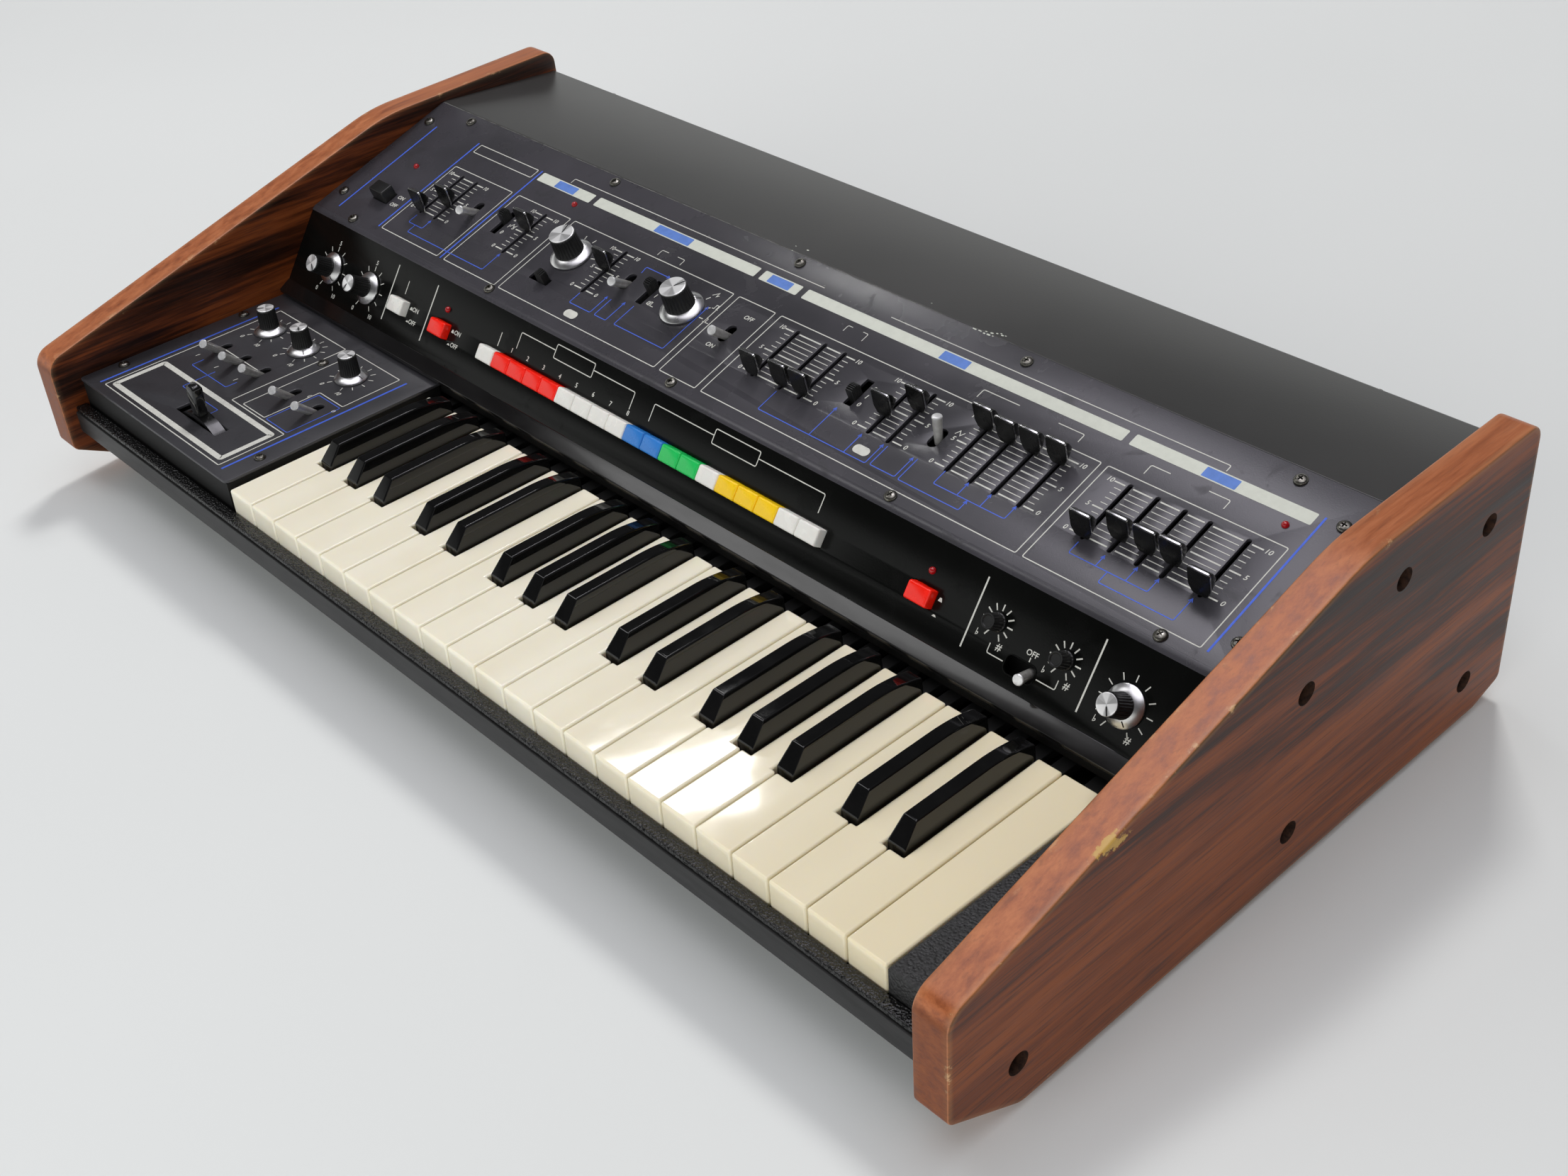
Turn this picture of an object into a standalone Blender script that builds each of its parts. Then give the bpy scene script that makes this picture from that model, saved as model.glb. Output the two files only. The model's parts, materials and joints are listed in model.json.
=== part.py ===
"""Analog synthesizer.

A three-octave keyboard, 37 hinged keys from F to F, in front of two sloping steel
panels between veneered cheeks.  Lengths are in metres, +Z is up, the keys face -Y.
The origin lies under the middle of the case, on the surface it stands on.
"""
from math import atan2, cos, pi, radians, sin, tan

import bmesh
import bpy
from mathutils import Matrix, Vector

for leftover in list(bpy.data.objects):
    bpy.data.objects.remove(leftover, do_unlink=True)

MM = 0.001

# Fits between pieces
GAP = 0.3 * MM             # air between two pieces that are fixed together
RUN = 0.3 * MM             # running clearance round a shaft, a stem or a button
SHEET = 2.0 * MM           # folded steel sheet of the panels and the cover

# Keyboard
WHITE_KEYS = 22
KEY_PITCH = 23.5 * MM
KEY_SPACE = 0.8 * MM       # air between two white keys
KEY_LEN = 136.8 * MM       # white key, front edge to the end of its cap
KEY_SHOW = 13.9 * MM       # height of the key fronts above the rail
KEY_SKIRT = 3.5 * MM       # what a key front reaches down behind the rail
KEY_EDGE = 1.2 * MM        # rounding of a white key's upper edges
NOTCH_Y = 49.5 * MM        # from the key fronts to the cut-out beside a sharp
NOTCH_AIR = 1.0 * MM       # air between a sharp and the cut-outs beside it
NOTCH_ROUND = 0.8 * MM
CAP_ROUND = 2.5 * MM       # rear corners of a white key, seen from above
SHARP_WIDTH = 11.0 * MM    # at the level of the white keys
SHARP_TOP = 7.8 * MM       # width of the narrow top face
SHARP_RISE = 11.6 * MM     # top of a sharp above the white keys
SHARP_SLOPE = 9.2 * MM     # length of the sloping front face
SHARP_DROP = 5.0 * MM      # how far the top curves down at its rear end
SHARP_CURVE = 26.0 * MM    # length of that curve
SHARP_REST = 1.8 * MM      # air between a sharp's front and the cut-out
TAIL_WIDTH = 8.0 * MM      # lever behind the key caps
TAIL_THICK = 5.5 * MM
TAIL_OVER = 7.0 * MM       # what a lever reaches past its pivot
PIVOT_Y = 215.0 * MM       # pivot rod behind the key fronts
PIVOT_UNDER = 14.4 * MM    # pivot rod below the white keys' tops
PIVOT_R = 3.0 * MM
KEY_DIP = radians(2.6)     # full travel of a key

# Where the sharps stand, as offsets from the joints between the white keys F G A B C D E
SHARP_OFFSETS = {1: -3.5 * MM, 2: 0.0, 3: 3.3 * MM, 5: -2.6 * MM, 6: 2.4 * MM}
OCTAVE = 7

# Front rail
RAIL_BOTTOM = 33.5 * MM    # above the bottom edge of the cheeks
RAIL_HEIGHT = 18.0 * MM
RAIL_DEPTH = 8.0 * MM
RAIL_BACK = 0.8 * MM       # rail's rear face ahead of the key fronts
RAIL_ROUND = 1.4 * MM
RAIL_LEDGE = 0.8 * MM      # covered top set back from the face below it
RAIL_GROOVE = 0.8 * MM
RAIL_GROOVE_LOW = 2.4 * MM  # groove below the rail's top
RAIL_FLANGE_OVER = 2.5 * MM  # rail's foot past the pan's front wall
RAIL_FLANGE_T = 2.0 * MM

# Bender panel left of the keys and block right of them
BENDER_WIDTH = 177.1 * MM
BENDER_SPACE = 2.9 * MM    # air between the bender panel and the first key
BENDER_RISE = 3.6 * MM     # plate above the white keys
BENDER_CORNER = 4.0 * MM
BENDER_WALL = 3.0 * MM
BLOCK_WIDTH = 28.8 * MM
BLOCK_SPACE = 0.4 * MM
BLOCK_EDGE = 0.9 * MM

# Switch panel, control panel and cover, as a chain of slopes behind the keys
LIP_SET = 14.5 * MM        # lower edge of the switch panel behind the key caps
LIP_RISE = 11.3 * MM       # and above them
LIP_DEPTH = 7.4 * MM       # moulded strip in front of that edge
LIP_FALL = 4.4 * MM
LIP_FACE = 1.7 * MM        # height of the strip's rounded nose
CURTAIN_AIR = 2.6 * MM     # between the key levers and the flange that hides them
CURTAIN_SET = 4.2 * MM     # behind the nose of the strip
SWITCH_LEN = 51.6 * MM
SWITCH_TILT = radians(55.3)
CONTROL_LEN = 116.3 * MM
CONTROL_TILT = radians(18.23)
COVER_DEPTH = 94.8 * MM
COVER_FALL = 7.1 * MM
COVER_ROUND = 3.0 * MM
BACK_LEAN = 0.0577         # slope of the back: it stands out towards the bottom

# Cheeks
CHEEK_THICK = 19.5 * MM
CHEEK_LEAD = 16.9 * MM     # cheeks ahead of the key fronts
CHEEK_CLEAR = 4.0 * MM     # bottom edge above the table
CHEEK_FRONT = 85.2 * MM    # height of the sloping edge at the front
CHEEK_BEND_SET = 45.2 * MM  # bend of the top edge ahead of the panel crease
CHEEK_BEND_UP = 4.6 * MM   # and above it
CHEEK_REAR_UP = 7.6 * MM   # rear end of the top edge above the crease
CHEEK_PROUD = 0.8 * MM     # cheeks behind the case's back
CHEEK_NOSE_Y = 43.4 * MM   # slanted cut under the front
CHEEK_NOSE_Z = 23.9 * MM
CHEEK_TAIL_Y = 22.7 * MM   # slanted cut under the rear
CHEEK_TAIL_Z = 7.0 * MM
CHEEK_EDGE = 1.3 * MM
SCREW_HOLE_R = 6.0 * MM
SCREW_HOLE_DEEP = 9.0 * MM
HOLE_LOW = 26.7 * MM       # lower screw row above the cheek's bottom
HOLE_FRONT_Y = 24.4 * MM
HOLE_MID_Y = 208.6 * MM
HOLE_REAR_IN = 34.8 * MM   # rear screws ahead of the case's back
HOLE_UP_UNDER = 24.5 * MM  # upper screws below the crease
HOLE_RIDGE_IN = 107.5 * MM
HOLE_EDGE_IN = 43.0 * MM   # sloping screw below the cheek's edge

# Bottom pan and feet
PAN_CLEAR = 8.0 * MM       # pan above the table
PAN_SHEET = 1.5 * MM
PAN_FRONT = 12.0 * MM      # front wall behind the key fronts
PAN_REAR_UP = 14.0 * MM
FOOT_R = 10.0 * MM
FOOT_IN_X = 60.0 * MM
FOOT_IN_Y = 45.0 * MM

# Key frame
FRAME_SHEET = 2.0 * MM
FRAME_BED = 26.0 * MM      # bed above the cheek's bottom
STOP_SET = 2.0 * MM        # felted stop under the key fronts, behind the rail's foot
STOP_DEEP = 6.0 * MM
STOP_AIR = 0.5 * MM

# Knobs: silver skirt, black body, metal cap
KNOB_SHAFT_R = 3.0 * MM
KNOB_SHAFT = 8.0 * MM
KNOB_SEGMENTS = 24
BIG_KNOB = (13.2 * MM, 8.9 * MM, 17.0 * MM)
SMALL_KNOB = (10.3 * MM, 6.2 * MM, 16.5 * MM)

# Sliders and slide switches
SLOT_FROM = 31.0 * MM      # lower end of every slot, up the control panel
SLOT_LEN = 38.5 * MM
SLOT_WIDTH = 2.2 * MM
SLOT_DEEP = 1.2 * MM
STEM_LEN = 4.6 * MM
SLIDE_FOOT = 8.0 * MM
BLADE_WIDTH = 11.0 * MM
BLADE_THICK = 2.6 * MM
BLADE_HIGH = 16.5 * MM
SWITCH_SLOT = 19.5 * MM
SWITCH_NUB = 7.0 * MM

# Push buttons
BUTTON_W = 14.7 * MM
BUTTON_H = 9.6 * MM
BUTTON_OUT = 5.3 * MM
BUTTON_IN = 8.0 * MM
POWER_OUT = 8.0 * MM
SELECT_COUNT = 19
SELECT_SPACE = 0.5 * MM    # between two buttons of the selector row
SELECT_OFF = -13.2 * MM    # middle of the selector row from the middle of the case
BUTTON_ROW = 30.5 * MM     # button row below the panels' joint

# Bender lever
LEVER_X = 104.2 * MM       # from the left cheek
LEVER_Y = 26.7 * MM        # behind the key fronts
LEVER_DEEP = 30.0 * MM     # pin under the plate
LEVER_UP = 24.0 * MM
LEVER_WIDE = 9.0 * MM
LEVER_THICK = 7.0 * MM
LEVER_SWING = radians(30.0)
PIN_R = 2.2 * MM
HUB_R = 6.0 * MM
EAR_THICK = 2.5 * MM

# Rear connectors
JACK_R = 5.5 * MM
JACK_BORE_R = 3.3 * MM
JACK_OUT = 3.0 * MM
JACK_PITCH = 32.0 * MM
JACKS = 8
JACK_LOW = 70.0 * MM       # above the cheek's bottom
JACK_FROM = 92.0 * MM      # first jack from the right end
INLET_W = 28.0 * MM
INLET_H = 20.0 * MM
INLET_DEEP = 1.2 * MM
INLET_FROM = 60.0 * MM     # mains inlet from the left end

# Derived places, measured from the key fronts and from the bottom edge of the cheeks
RAIL_TOP = RAIL_BOTTOM + RAIL_HEIGHT
RAIL_FLANGE = PAN_FRONT + PAN_SHEET + RAIL_FLANGE_OVER
STOP_Y = RAIL_FLANGE + STOP_SET
KEY_TOP = RAIL_TOP + KEY_SHOW
KEY_BOTTOM = RAIL_TOP - KEY_SKIRT
PIVOT_Z = KEY_TOP - PIVOT_UNDER
TAIL_BOTTOM = PIVOT_Z + PIVOT_R + RUN
TAIL_TOP = TAIL_BOTTOM + TAIL_THICK
BENDER_TOP = KEY_TOP + BENDER_RISE
LIP_Y = KEY_LEN + LIP_SET
LIP_Z = KEY_TOP + LIP_RISE
NOSE_Y = LIP_Y - LIP_DEPTH
NOSE_Z = LIP_Z - LIP_FALL
CURTAIN_Y = NOSE_Y + CURTAIN_SET
FOLD_Y = LIP_Y + SWITCH_LEN * cos(SWITCH_TILT)
FOLD_Z = LIP_Z + SWITCH_LEN * sin(SWITCH_TILT)
CREASE_Y = FOLD_Y + CONTROL_LEN * cos(CONTROL_TILT)
CREASE_Z = FOLD_Z + CONTROL_LEN * sin(CONTROL_TILT)
REAR_Y = CREASE_Y + COVER_DEPTH
REAR_Z = CREASE_Z - COVER_FALL

INNER_WIDTH = (GAP + BENDER_WIDTH + BENDER_SPACE + WHITE_KEYS * KEY_PITCH
               + BLOCK_SPACE + BLOCK_WIDTH + GAP)
X_LEFT = -INNER_WIDTH / 2
X_RIGHT = INNER_WIDTH / 2
X_KEYS = X_LEFT + GAP + BENDER_WIDTH + BENDER_SPACE
X_KEYS_END = X_KEYS + WHITE_KEYS * KEY_PITCH


def back_y(z):
    """Outside of the case's back at height z."""
    return REAR_Y + (REAR_Z - z) * BACK_LEAN


def rounded(points, radii, steps=3):
    """Polygon with its corners replaced by arcs of the given radii."""
    result = []
    count = len(points)
    for index, (corner, radius) in enumerate(zip(points, radii)):
        here = Vector(corner)
        before = Vector(points[index - 1]) - here
        after = Vector(points[(index + 1) % count]) - here
        if radius <= 0.0:
            result.append(tuple(here))
            continue
        half = before.angle(after) / 2
        reach = min(radius / tan(half), before.length * 0.49, after.length * 0.49)
        radius = reach * tan(half)
        before.normalize()
        after.normalize()
        centre = here + (before + after).normalized() * (radius / sin(half))
        start = here + before * reach - centre
        sweep = start.angle_signed(here + after * reach - centre)
        for step in range(steps + 1):
            turn = -sweep * step / steps
            x = start.x * cos(turn) - start.y * sin(turn)
            y = start.x * sin(turn) + start.y * cos(turn)
            result.append((centre.x + x, centre.y + y))
    return result


# The cheek outline fixes the overall depth, and with it the origin
CHEEK_OUTLINE = rounded(
    [(-CHEEK_LEAD, CHEEK_NOSE_Z),
     (-CHEEK_LEAD, CHEEK_FRONT),
     (CREASE_Y - CHEEK_BEND_SET, CREASE_Z + CHEEK_BEND_UP),
     (back_y(CREASE_Z + CHEEK_REAR_UP) + CHEEK_PROUD, CREASE_Z + CHEEK_REAR_UP),
     (back_y(CHEEK_TAIL_Z) + CHEEK_PROUD, CHEEK_TAIL_Z),
     (back_y(0.0) - CHEEK_TAIL_Y, 0.0),
     (CHEEK_NOSE_Y - CHEEK_LEAD, 0.0)],
    [6 * MM, 12 * MM, 120 * MM, 9 * MM, 5 * MM, 12 * MM, 15 * MM],
    4)
Y_KEYS = -(min(y for y, z in CHEEK_OUTLINE) + max(y for y, z in CHEEK_OUTLINE)) / 2


def side(y, z):
    """World Y and Z of a point given from the key fronts and the cheek's bottom."""
    return Y_KEYS + y, CHEEK_CLEAR + z


def material(name, colour, roughness, metallic=0.0):
    made = bpy.data.materials.new(name)
    made.use_nodes = True
    shader = made.node_tree.nodes["Principled BSDF"]
    shader.inputs["Base Color"].default_value = (*colour, 1.0)
    shader.inputs["Roughness"].default_value = roughness
    shader.inputs["Metallic"].default_value = metallic
    return made


WOOD = (0.17, 0.05, 0.022)
BLACK = (0.012, 0.012, 0.013)
LEATHER = (0.02, 0.02, 0.022)
PANEL_GREY = (0.05, 0.05, 0.058)
IVORY = (0.80, 0.77, 0.63)
STEEL = (0.45, 0.45, 0.46)
RED = (0.72, 0.03, 0.02)
WHITE = (0.75, 0.74, 0.70)


def finish(bm, name, colour, roughness, metallic=0.0, smooth=None):
    """Turn a bmesh into an object with its own material."""
    bmesh.ops.recalc_face_normals(bm, faces=bm.faces)
    mesh = bpy.data.meshes.new(name)
    bm.to_mesh(mesh)
    bm.free()
    made = bpy.data.objects.new(name, mesh)
    bpy.context.scene.collection.objects.link(made)
    mesh.materials.append(material(name, colour, roughness, metallic))
    shade(mesh, smooth)
    return made


def shade(mesh, smooth):
    if smooth:
        mesh.shade_smooth()
        mesh.set_sharp_from_angle(angle=radians(smooth))


def loft(rings):
    """Closed skin through rings of equal length, capped at both ends."""
    bm = bmesh.new()
    rows = [[bm.verts.new(point) for point in ring] for ring in rings]
    for low, high in zip(rows, rows[1:]):
        for index in range(len(low)):
            after = (index + 1) % len(low)
            bm.faces.new((low[index], low[after], high[after], high[index]))
    bm.faces.new(reversed(rows[0]))
    bm.faces.new(rows[-1])
    return bm


def along_x(profile, x0, x1):
    """Profile of world Y and Z pairs, extruded from x0 to x1."""
    return loft([[(x, y, z) for y, z in profile] for x in (x0, x1)])


def upright(outline, z0, z1):
    """Outline in X and Y, extruded from z0 to z1."""
    return loft([[(x, y, z) for x, y in outline] for z in (z0, z1)])


def block(x0, x1, y0, y1, z0, z1):
    return upright([(x0, y0), (x1, y0), (x1, y1), (x0, y1)], z0, z1)


def crowned_block(x, y, wide, deep, z0, z1, edge):
    """Button shape with a small chamfer round its top face."""
    def ring(shrink, z):
        half_w, half_d = wide / 2 - shrink, deep / 2 - shrink
        return [(x - half_w, y - half_d, z), (x + half_w, y - half_d, z),
                (x + half_w, y + half_d, z), (x - half_w, y + half_d, z)]
    return loft([ring(0.0, z0), ring(0.0, z1 - edge), ring(edge, z1)])


def turned(profile, segments, x=0.0, y=0.0, ribs=None):
    """Radius and height pairs revolved about Z; ribs maps a height to a flute depth."""
    rings = []
    for radius, z in profile:
        ring = []
        for step in range(segments):
            angle = 2 * pi * step / segments
            depth = ribs(z) if ribs and step % 2 else 0.0
            r = radius - depth
            ring.append((x + r * cos(angle), y + r * sin(angle), z))
        rings.append(ring)
    return loft(rings)


def rod(start, end, radius, segments, tip=1.0):
    """Straight round bar between two points; tip scales the radius at its end."""
    start, end = Vector(start), Vector(end)
    turn = (end - start).to_track_quat("Z", "Y")
    rings = []
    for centre, scale in ((start, 1.0), (end, tip)):
        ring = []
        for step in range(segments):
            angle = 2 * pi * step / segments
            spoke = Vector((cos(angle), sin(angle), 0.0)) * radius * scale
            ring.append(tuple(centre + turn @ spoke))
        rings.append(ring)
    return loft(rings)


def joined(shapes):
    """One bmesh holding several separate closed shapes."""
    whole = bmesh.new()
    for shape in shapes:
        bmesh.ops.recalc_face_normals(shape, faces=shape.faces)
        scrap = bpy.data.meshes.new("scrap")
        shape.to_mesh(scrap)
        shape.free()
        whole.from_mesh(scrap)
        bpy.data.meshes.remove(scrap)
    return whole


def combine(target, shapes, operation, smooth=None):
    """Cut shapes from a target, or fuse them to it."""
    tool_mesh = bpy.data.meshes.new("tool")
    gathered = joined(shapes)
    gathered.to_mesh(tool_mesh)
    gathered.free()
    tool = bpy.data.objects.new("tool", tool_mesh)
    bpy.context.scene.collection.objects.link(tool)
    tool.hide_render = True
    tool.display_type = "WIRE"
    change = target.modifiers.new(operation.lower(), "BOOLEAN")
    change.operation = operation
    change.solver = "EXACT"
    change.object = tool
    bpy.context.view_layer.update()
    graph = bpy.context.evaluated_depsgraph_get()
    result = bpy.data.meshes.new_from_object(target.evaluated_get(graph))
    target.modifiers.clear()
    result.name = target.name
    target.data = result
    bpy.data.objects.remove(tool, do_unlink=True)
    shade(result, smooth)


def empty(name, matrix):
    made = bpy.data.objects.new(name, None)
    made.matrix_world = matrix
    bpy.context.scene.collection.objects.link(made)
    return made


def hang(child, parent):
    child.parent = parent


def panel_frame(y, z, tilt):
    """X along the case, Y up the panel's slope, Z square to its surface."""
    return Matrix.Translation((0.0, *side(y, z))) @ Matrix.Rotation(tilt, 4, "X")


CONTROL_FRAME = empty("control_frame", panel_frame(FOLD_Y, FOLD_Z, CONTROL_TILT))
SWITCH_FRAME = empty("switch_frame", panel_frame(FOLD_Y, FOLD_Z, SWITCH_TILT))
BENDER_FRAME = empty("bender_frame", panel_frame(0.0, BENDER_TOP, 0.0))


def from_left(distance):
    return X_LEFT + distance * MM


def from_right(distance):
    return X_RIGHT - distance * MM


# Cheeks: veneered boards with counterbored screw holes on the outside.
def cheek(name, inner_x, direction):
    outline = [side(y, z) for y, z in CHEEK_OUTLINE]
    bm = along_x(outline, 0.0, CHEEK_THICK)
    rims = [edge for edge in bm.edges
            if abs(edge.verts[0].co.x - edge.verts[1].co.x) < 1e-6]
    bmesh.ops.bevel(bm, geom=rims, offset=CHEEK_EDGE, offset_type="OFFSET",
                    segments=1, profile=0.5, affect="EDGES")
    board = finish(bm, name, WOOD, 0.35, smooth=32)
    slope = atan2(CREASE_Z + CHEEK_BEND_UP - CHEEK_FRONT, CREASE_Y - CHEEK_BEND_SET + CHEEK_LEAD)
    ridge = CHEEK_FRONT + (HOLE_MID_Y + CHEEK_LEAD) * tan(slope)
    places = [(HOLE_FRONT_Y, HOLE_LOW),
              (HOLE_MID_Y, HOLE_LOW),
              (REAR_Y - HOLE_REAR_IN + 5 * MM, HOLE_LOW),
              (HOLE_MID_Y, ridge - HOLE_EDGE_IN),
              (REAR_Y - HOLE_RIDGE_IN, CREASE_Z - HOLE_UP_UNDER),
              (REAR_Y - HOLE_REAR_IN, CREASE_Z - HOLE_UP_UNDER - 8 * MM)]
    holes = []
    for y, z in places:
        centre_y, centre_z = side(y, z)
        holes.append(rod((CHEEK_THICK - SCREW_HOLE_DEEP, centre_y, centre_z),
                         (CHEEK_THICK + 5 * MM, centre_y, centre_z), SCREW_HOLE_R, 16))
    combine(board, holes, "DIFFERENCE", 32)
    if direction < 0:
        board.data.transform(Matrix.Scale(-1.0, 4, (1, 0, 0)))
        board.data.flip_normals()
    board.location.x = inner_x
    return board


cheek("left_cheek", X_LEFT, -1)
cheek("right_cheek", X_RIGHT, 1)

X_FROM = X_LEFT + GAP
X_TO = X_RIGHT - GAP

# Front rail: a bar with a rounded front edge and a groove, on a foot under the key fronts.
RAIL_FRONT = -(RAIL_BACK + RAIL_DEPTH)
ledge_y = RAIL_FRONT + RAIL_LEDGE
groove_z = RAIL_TOP - RAIL_GROOVE_LOW
rail_profile = rounded(
    [(-RAIL_BACK, RAIL_TOP),
     (ledge_y, RAIL_TOP),
     (ledge_y, groove_z),
     (ledge_y + RAIL_GROOVE, groove_z),
     (ledge_y + RAIL_GROOVE, groove_z - RAIL_GROOVE),
     (RAIL_FRONT, groove_z - RAIL_GROOVE),
     (RAIL_FRONT, RAIL_BOTTOM),
     (RAIL_FLANGE, RAIL_BOTTOM),
     (RAIL_FLANGE, RAIL_BOTTOM + RAIL_FLANGE_T),
     (-RAIL_BACK, RAIL_BOTTOM + RAIL_FLANGE_T)],
    [0.0, RAIL_ROUND, 0.0, 0.0, 0.0, 0.0, RAIL_ROUND, 0.0, 0.0, 0.0])
finish(along_x([side(y, z) for y, z in rail_profile], X_FROM, X_TO),
       "front_rail", LEATHER, 0.5)

# Bottom pan: folded tray between the cheeks on six rubber feet.
PAN_LOW = PAN_CLEAR - CHEEK_CLEAR
pan_profile = [(PAN_FRONT, PAN_LOW),
               (back_y(PAN_LOW) - SHEET - GAP, PAN_LOW),
               (back_y(PAN_LOW + PAN_REAR_UP) - SHEET - GAP, PAN_LOW + PAN_REAR_UP),
               (back_y(PAN_LOW + PAN_REAR_UP) - SHEET - GAP - PAN_SHEET, PAN_LOW + PAN_REAR_UP),
               (back_y(PAN_LOW + PAN_SHEET) - SHEET - GAP - PAN_SHEET, PAN_LOW + PAN_SHEET),
               (PAN_FRONT + PAN_SHEET, PAN_LOW + PAN_SHEET),
               (PAN_FRONT + PAN_SHEET, RAIL_BOTTOM - GAP),
               (PAN_FRONT, RAIL_BOTTOM - GAP)]
pan = finish(along_x([side(y, z) for y, z in pan_profile], X_FROM, X_TO),
             "bottom_pan", BLACK, 0.6)
feet = []
for foot_x in (X_LEFT + FOOT_IN_X, 0.0, X_RIGHT - FOOT_IN_X):
    for foot_y in (PAN_FRONT + FOOT_IN_Y, REAR_Y - FOOT_IN_Y):
        feet.append(turned([(FOOT_R * 0.85, 0.0), (FOOT_R, 2 * MM),
                            (FOOT_R, PAN_CLEAR + PAN_SHEET / 2)],
                           12, foot_x, side(foot_y, 0.0)[0]))
combine(pan, feet, "UNION")

# Key frame: a folded channel with a stop under the key fronts and the rod the keys rock on.
bed = FRAME_BED
legs = PAN_LOW + PAN_SHEET + GAP
stop_arm = PIVOT_Y - STOP_Y
stop_top = (PIVOT_Z - stop_arm * sin(KEY_DIP) + (KEY_BOTTOM - PIVOT_Z) * cos(KEY_DIP) - STOP_AIR)
wall = FRAME_SHEET / 2
rod_arc = []
rod_start = atan2(-(PIVOT_R * PIVOT_R - wall * wall) ** 0.5, wall)
for step in range(11):
    angle = rod_start + (2 * pi - 2 * (pi / 2 + rod_start)) * step / 10
    rod_arc.append((PIVOT_Y + PIVOT_R * cos(angle), PIVOT_Z + PIVOT_R * sin(angle)))
frame_profile = [(STOP_Y, legs),
                 (STOP_Y + FRAME_SHEET, legs),
                 (STOP_Y + FRAME_SHEET, bed),
                 (PIVOT_Y - wall, bed),
                 (PIVOT_Y - wall, legs),
                 (PIVOT_Y + wall, legs)]
frame_profile += rod_arc
frame_profile += [(PIVOT_Y - wall, bed + FRAME_SHEET),
                  (STOP_Y + STOP_DEEP, bed + FRAME_SHEET),
                  (STOP_Y + STOP_DEEP, stop_top),
                  (STOP_Y, stop_top)]
finish(along_x([side(y, z) for y, z in frame_profile], X_KEYS, X_KEYS_END),
       "key_frame", STEEL, 0.4, 1.0, smooth=32)


# Keys.  Every key turns about the rod at the rear; its origin lies on that axis.
def sharp_offset(joint):
    """Offset of the sharp at a joint between white keys, or None where there is none."""
    if joint < 1 or joint >= WHITE_KEYS:
        return None
    return SHARP_OFFSETS.get(joint % OCTAVE)


def key_object(bm, name, centre_x, colour, roughness):
    made = finish(bm, name, colour, roughness, smooth=32)
    pivot_y, pivot_z = side(PIVOT_Y, PIVOT_Z)
    made.location = (centre_x, pivot_y, pivot_z)
    return made


def rear_faces(bm, rear_y):
    return [face for face in bm.faces if abs(face.normal.y) > 0.99
            and abs(face.calc_center_median().y - rear_y) < 1e-5]


def lever(bm, rear_y):
    """Split the rear face of a key at the lever's two levels and draw the lever out of it."""
    for height in (TAIL_BOTTOM - PIVOT_Z, TAIL_TOP - PIVOT_Z):
        parts = set()
        for face in rear_faces(bm, rear_y):
            parts.update([face, *face.edges, *face.verts])
        bmesh.ops.bisect_plane(bm, geom=list(parts), dist=1e-7, plane_co=(0, 0, height),
                               plane_no=(0, 0, 1))
    level = (TAIL_BOTTOM + TAIL_TOP) / 2 - PIVOT_Z
    rear = min(rear_faces(bm, rear_y),
               key=lambda face: abs(face.calc_center_median().z - level))
    drawn = bmesh.ops.extrude_discrete_faces(bm, faces=[rear])["faces"][0]
    middle = drawn.calc_center_median().x
    for vert in drawn.verts:
        vert.co.y += TAIL_OVER - rear_y
        vert.co.x = middle + (TAIL_WIDTH if vert.co.x > middle else -TAIL_WIDTH) / 2


def white_key(index):
    """White key with its cut-outs; local Y runs back from the axis the key turns on."""
    left = -(KEY_PITCH - KEY_SPACE) / 2
    right = -left
    front, back = -PIVOT_Y, KEY_LEN - PIVOT_Y
    step_y = NOTCH_Y - PIVOT_Y
    half = SHARP_WIDTH / 2 + NOTCH_AIR
    low, high = sharp_offset(index), sharp_offset(index + 1)
    points = [(left, front), (right, front)]
    radii = [KEY_EDGE, KEY_EDGE]
    inner_left, inner_right = left, right
    if high is not None:
        inner_right = KEY_PITCH / 2 + high - half
        points += [(right, step_y), (inner_right, step_y)]
        radii += [0.0, NOTCH_ROUND]
    points += [(inner_right, back)]
    radii += [CAP_ROUND]
    if low is not None:
        inner_left = -KEY_PITCH / 2 + low + half
    points += [(inner_left, back)]
    radii += [CAP_ROUND]
    if low is not None:
        points += [(inner_left, step_y), (left, step_y)]
        radii += [NOTCH_ROUND, 0.0]
    bm = upright(rounded(points, radii, 2), KEY_BOTTOM - PIVOT_Z, KEY_TOP - PIVOT_Z)
    bmesh.ops.recalc_face_normals(bm, faces=bm.faces)
    lever(bm, back)
    top = KEY_TOP - PIVOT_Z
    rim = [edge for edge in bm.edges
           if all(abs(vert.co.z - top) < 1e-6 for vert in edge.verts)]
    bmesh.ops.bevel(bm, geom=rim, offset=KEY_EDGE * 0.8, offset_type="OFFSET",
                    segments=1, profile=0.5, affect="EDGES")
    centre = X_KEYS + (index + 0.5) * KEY_PITCH
    return key_object(bm, f"white_key_{index + 1:02d}", centre, IVORY, 0.22)


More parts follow.
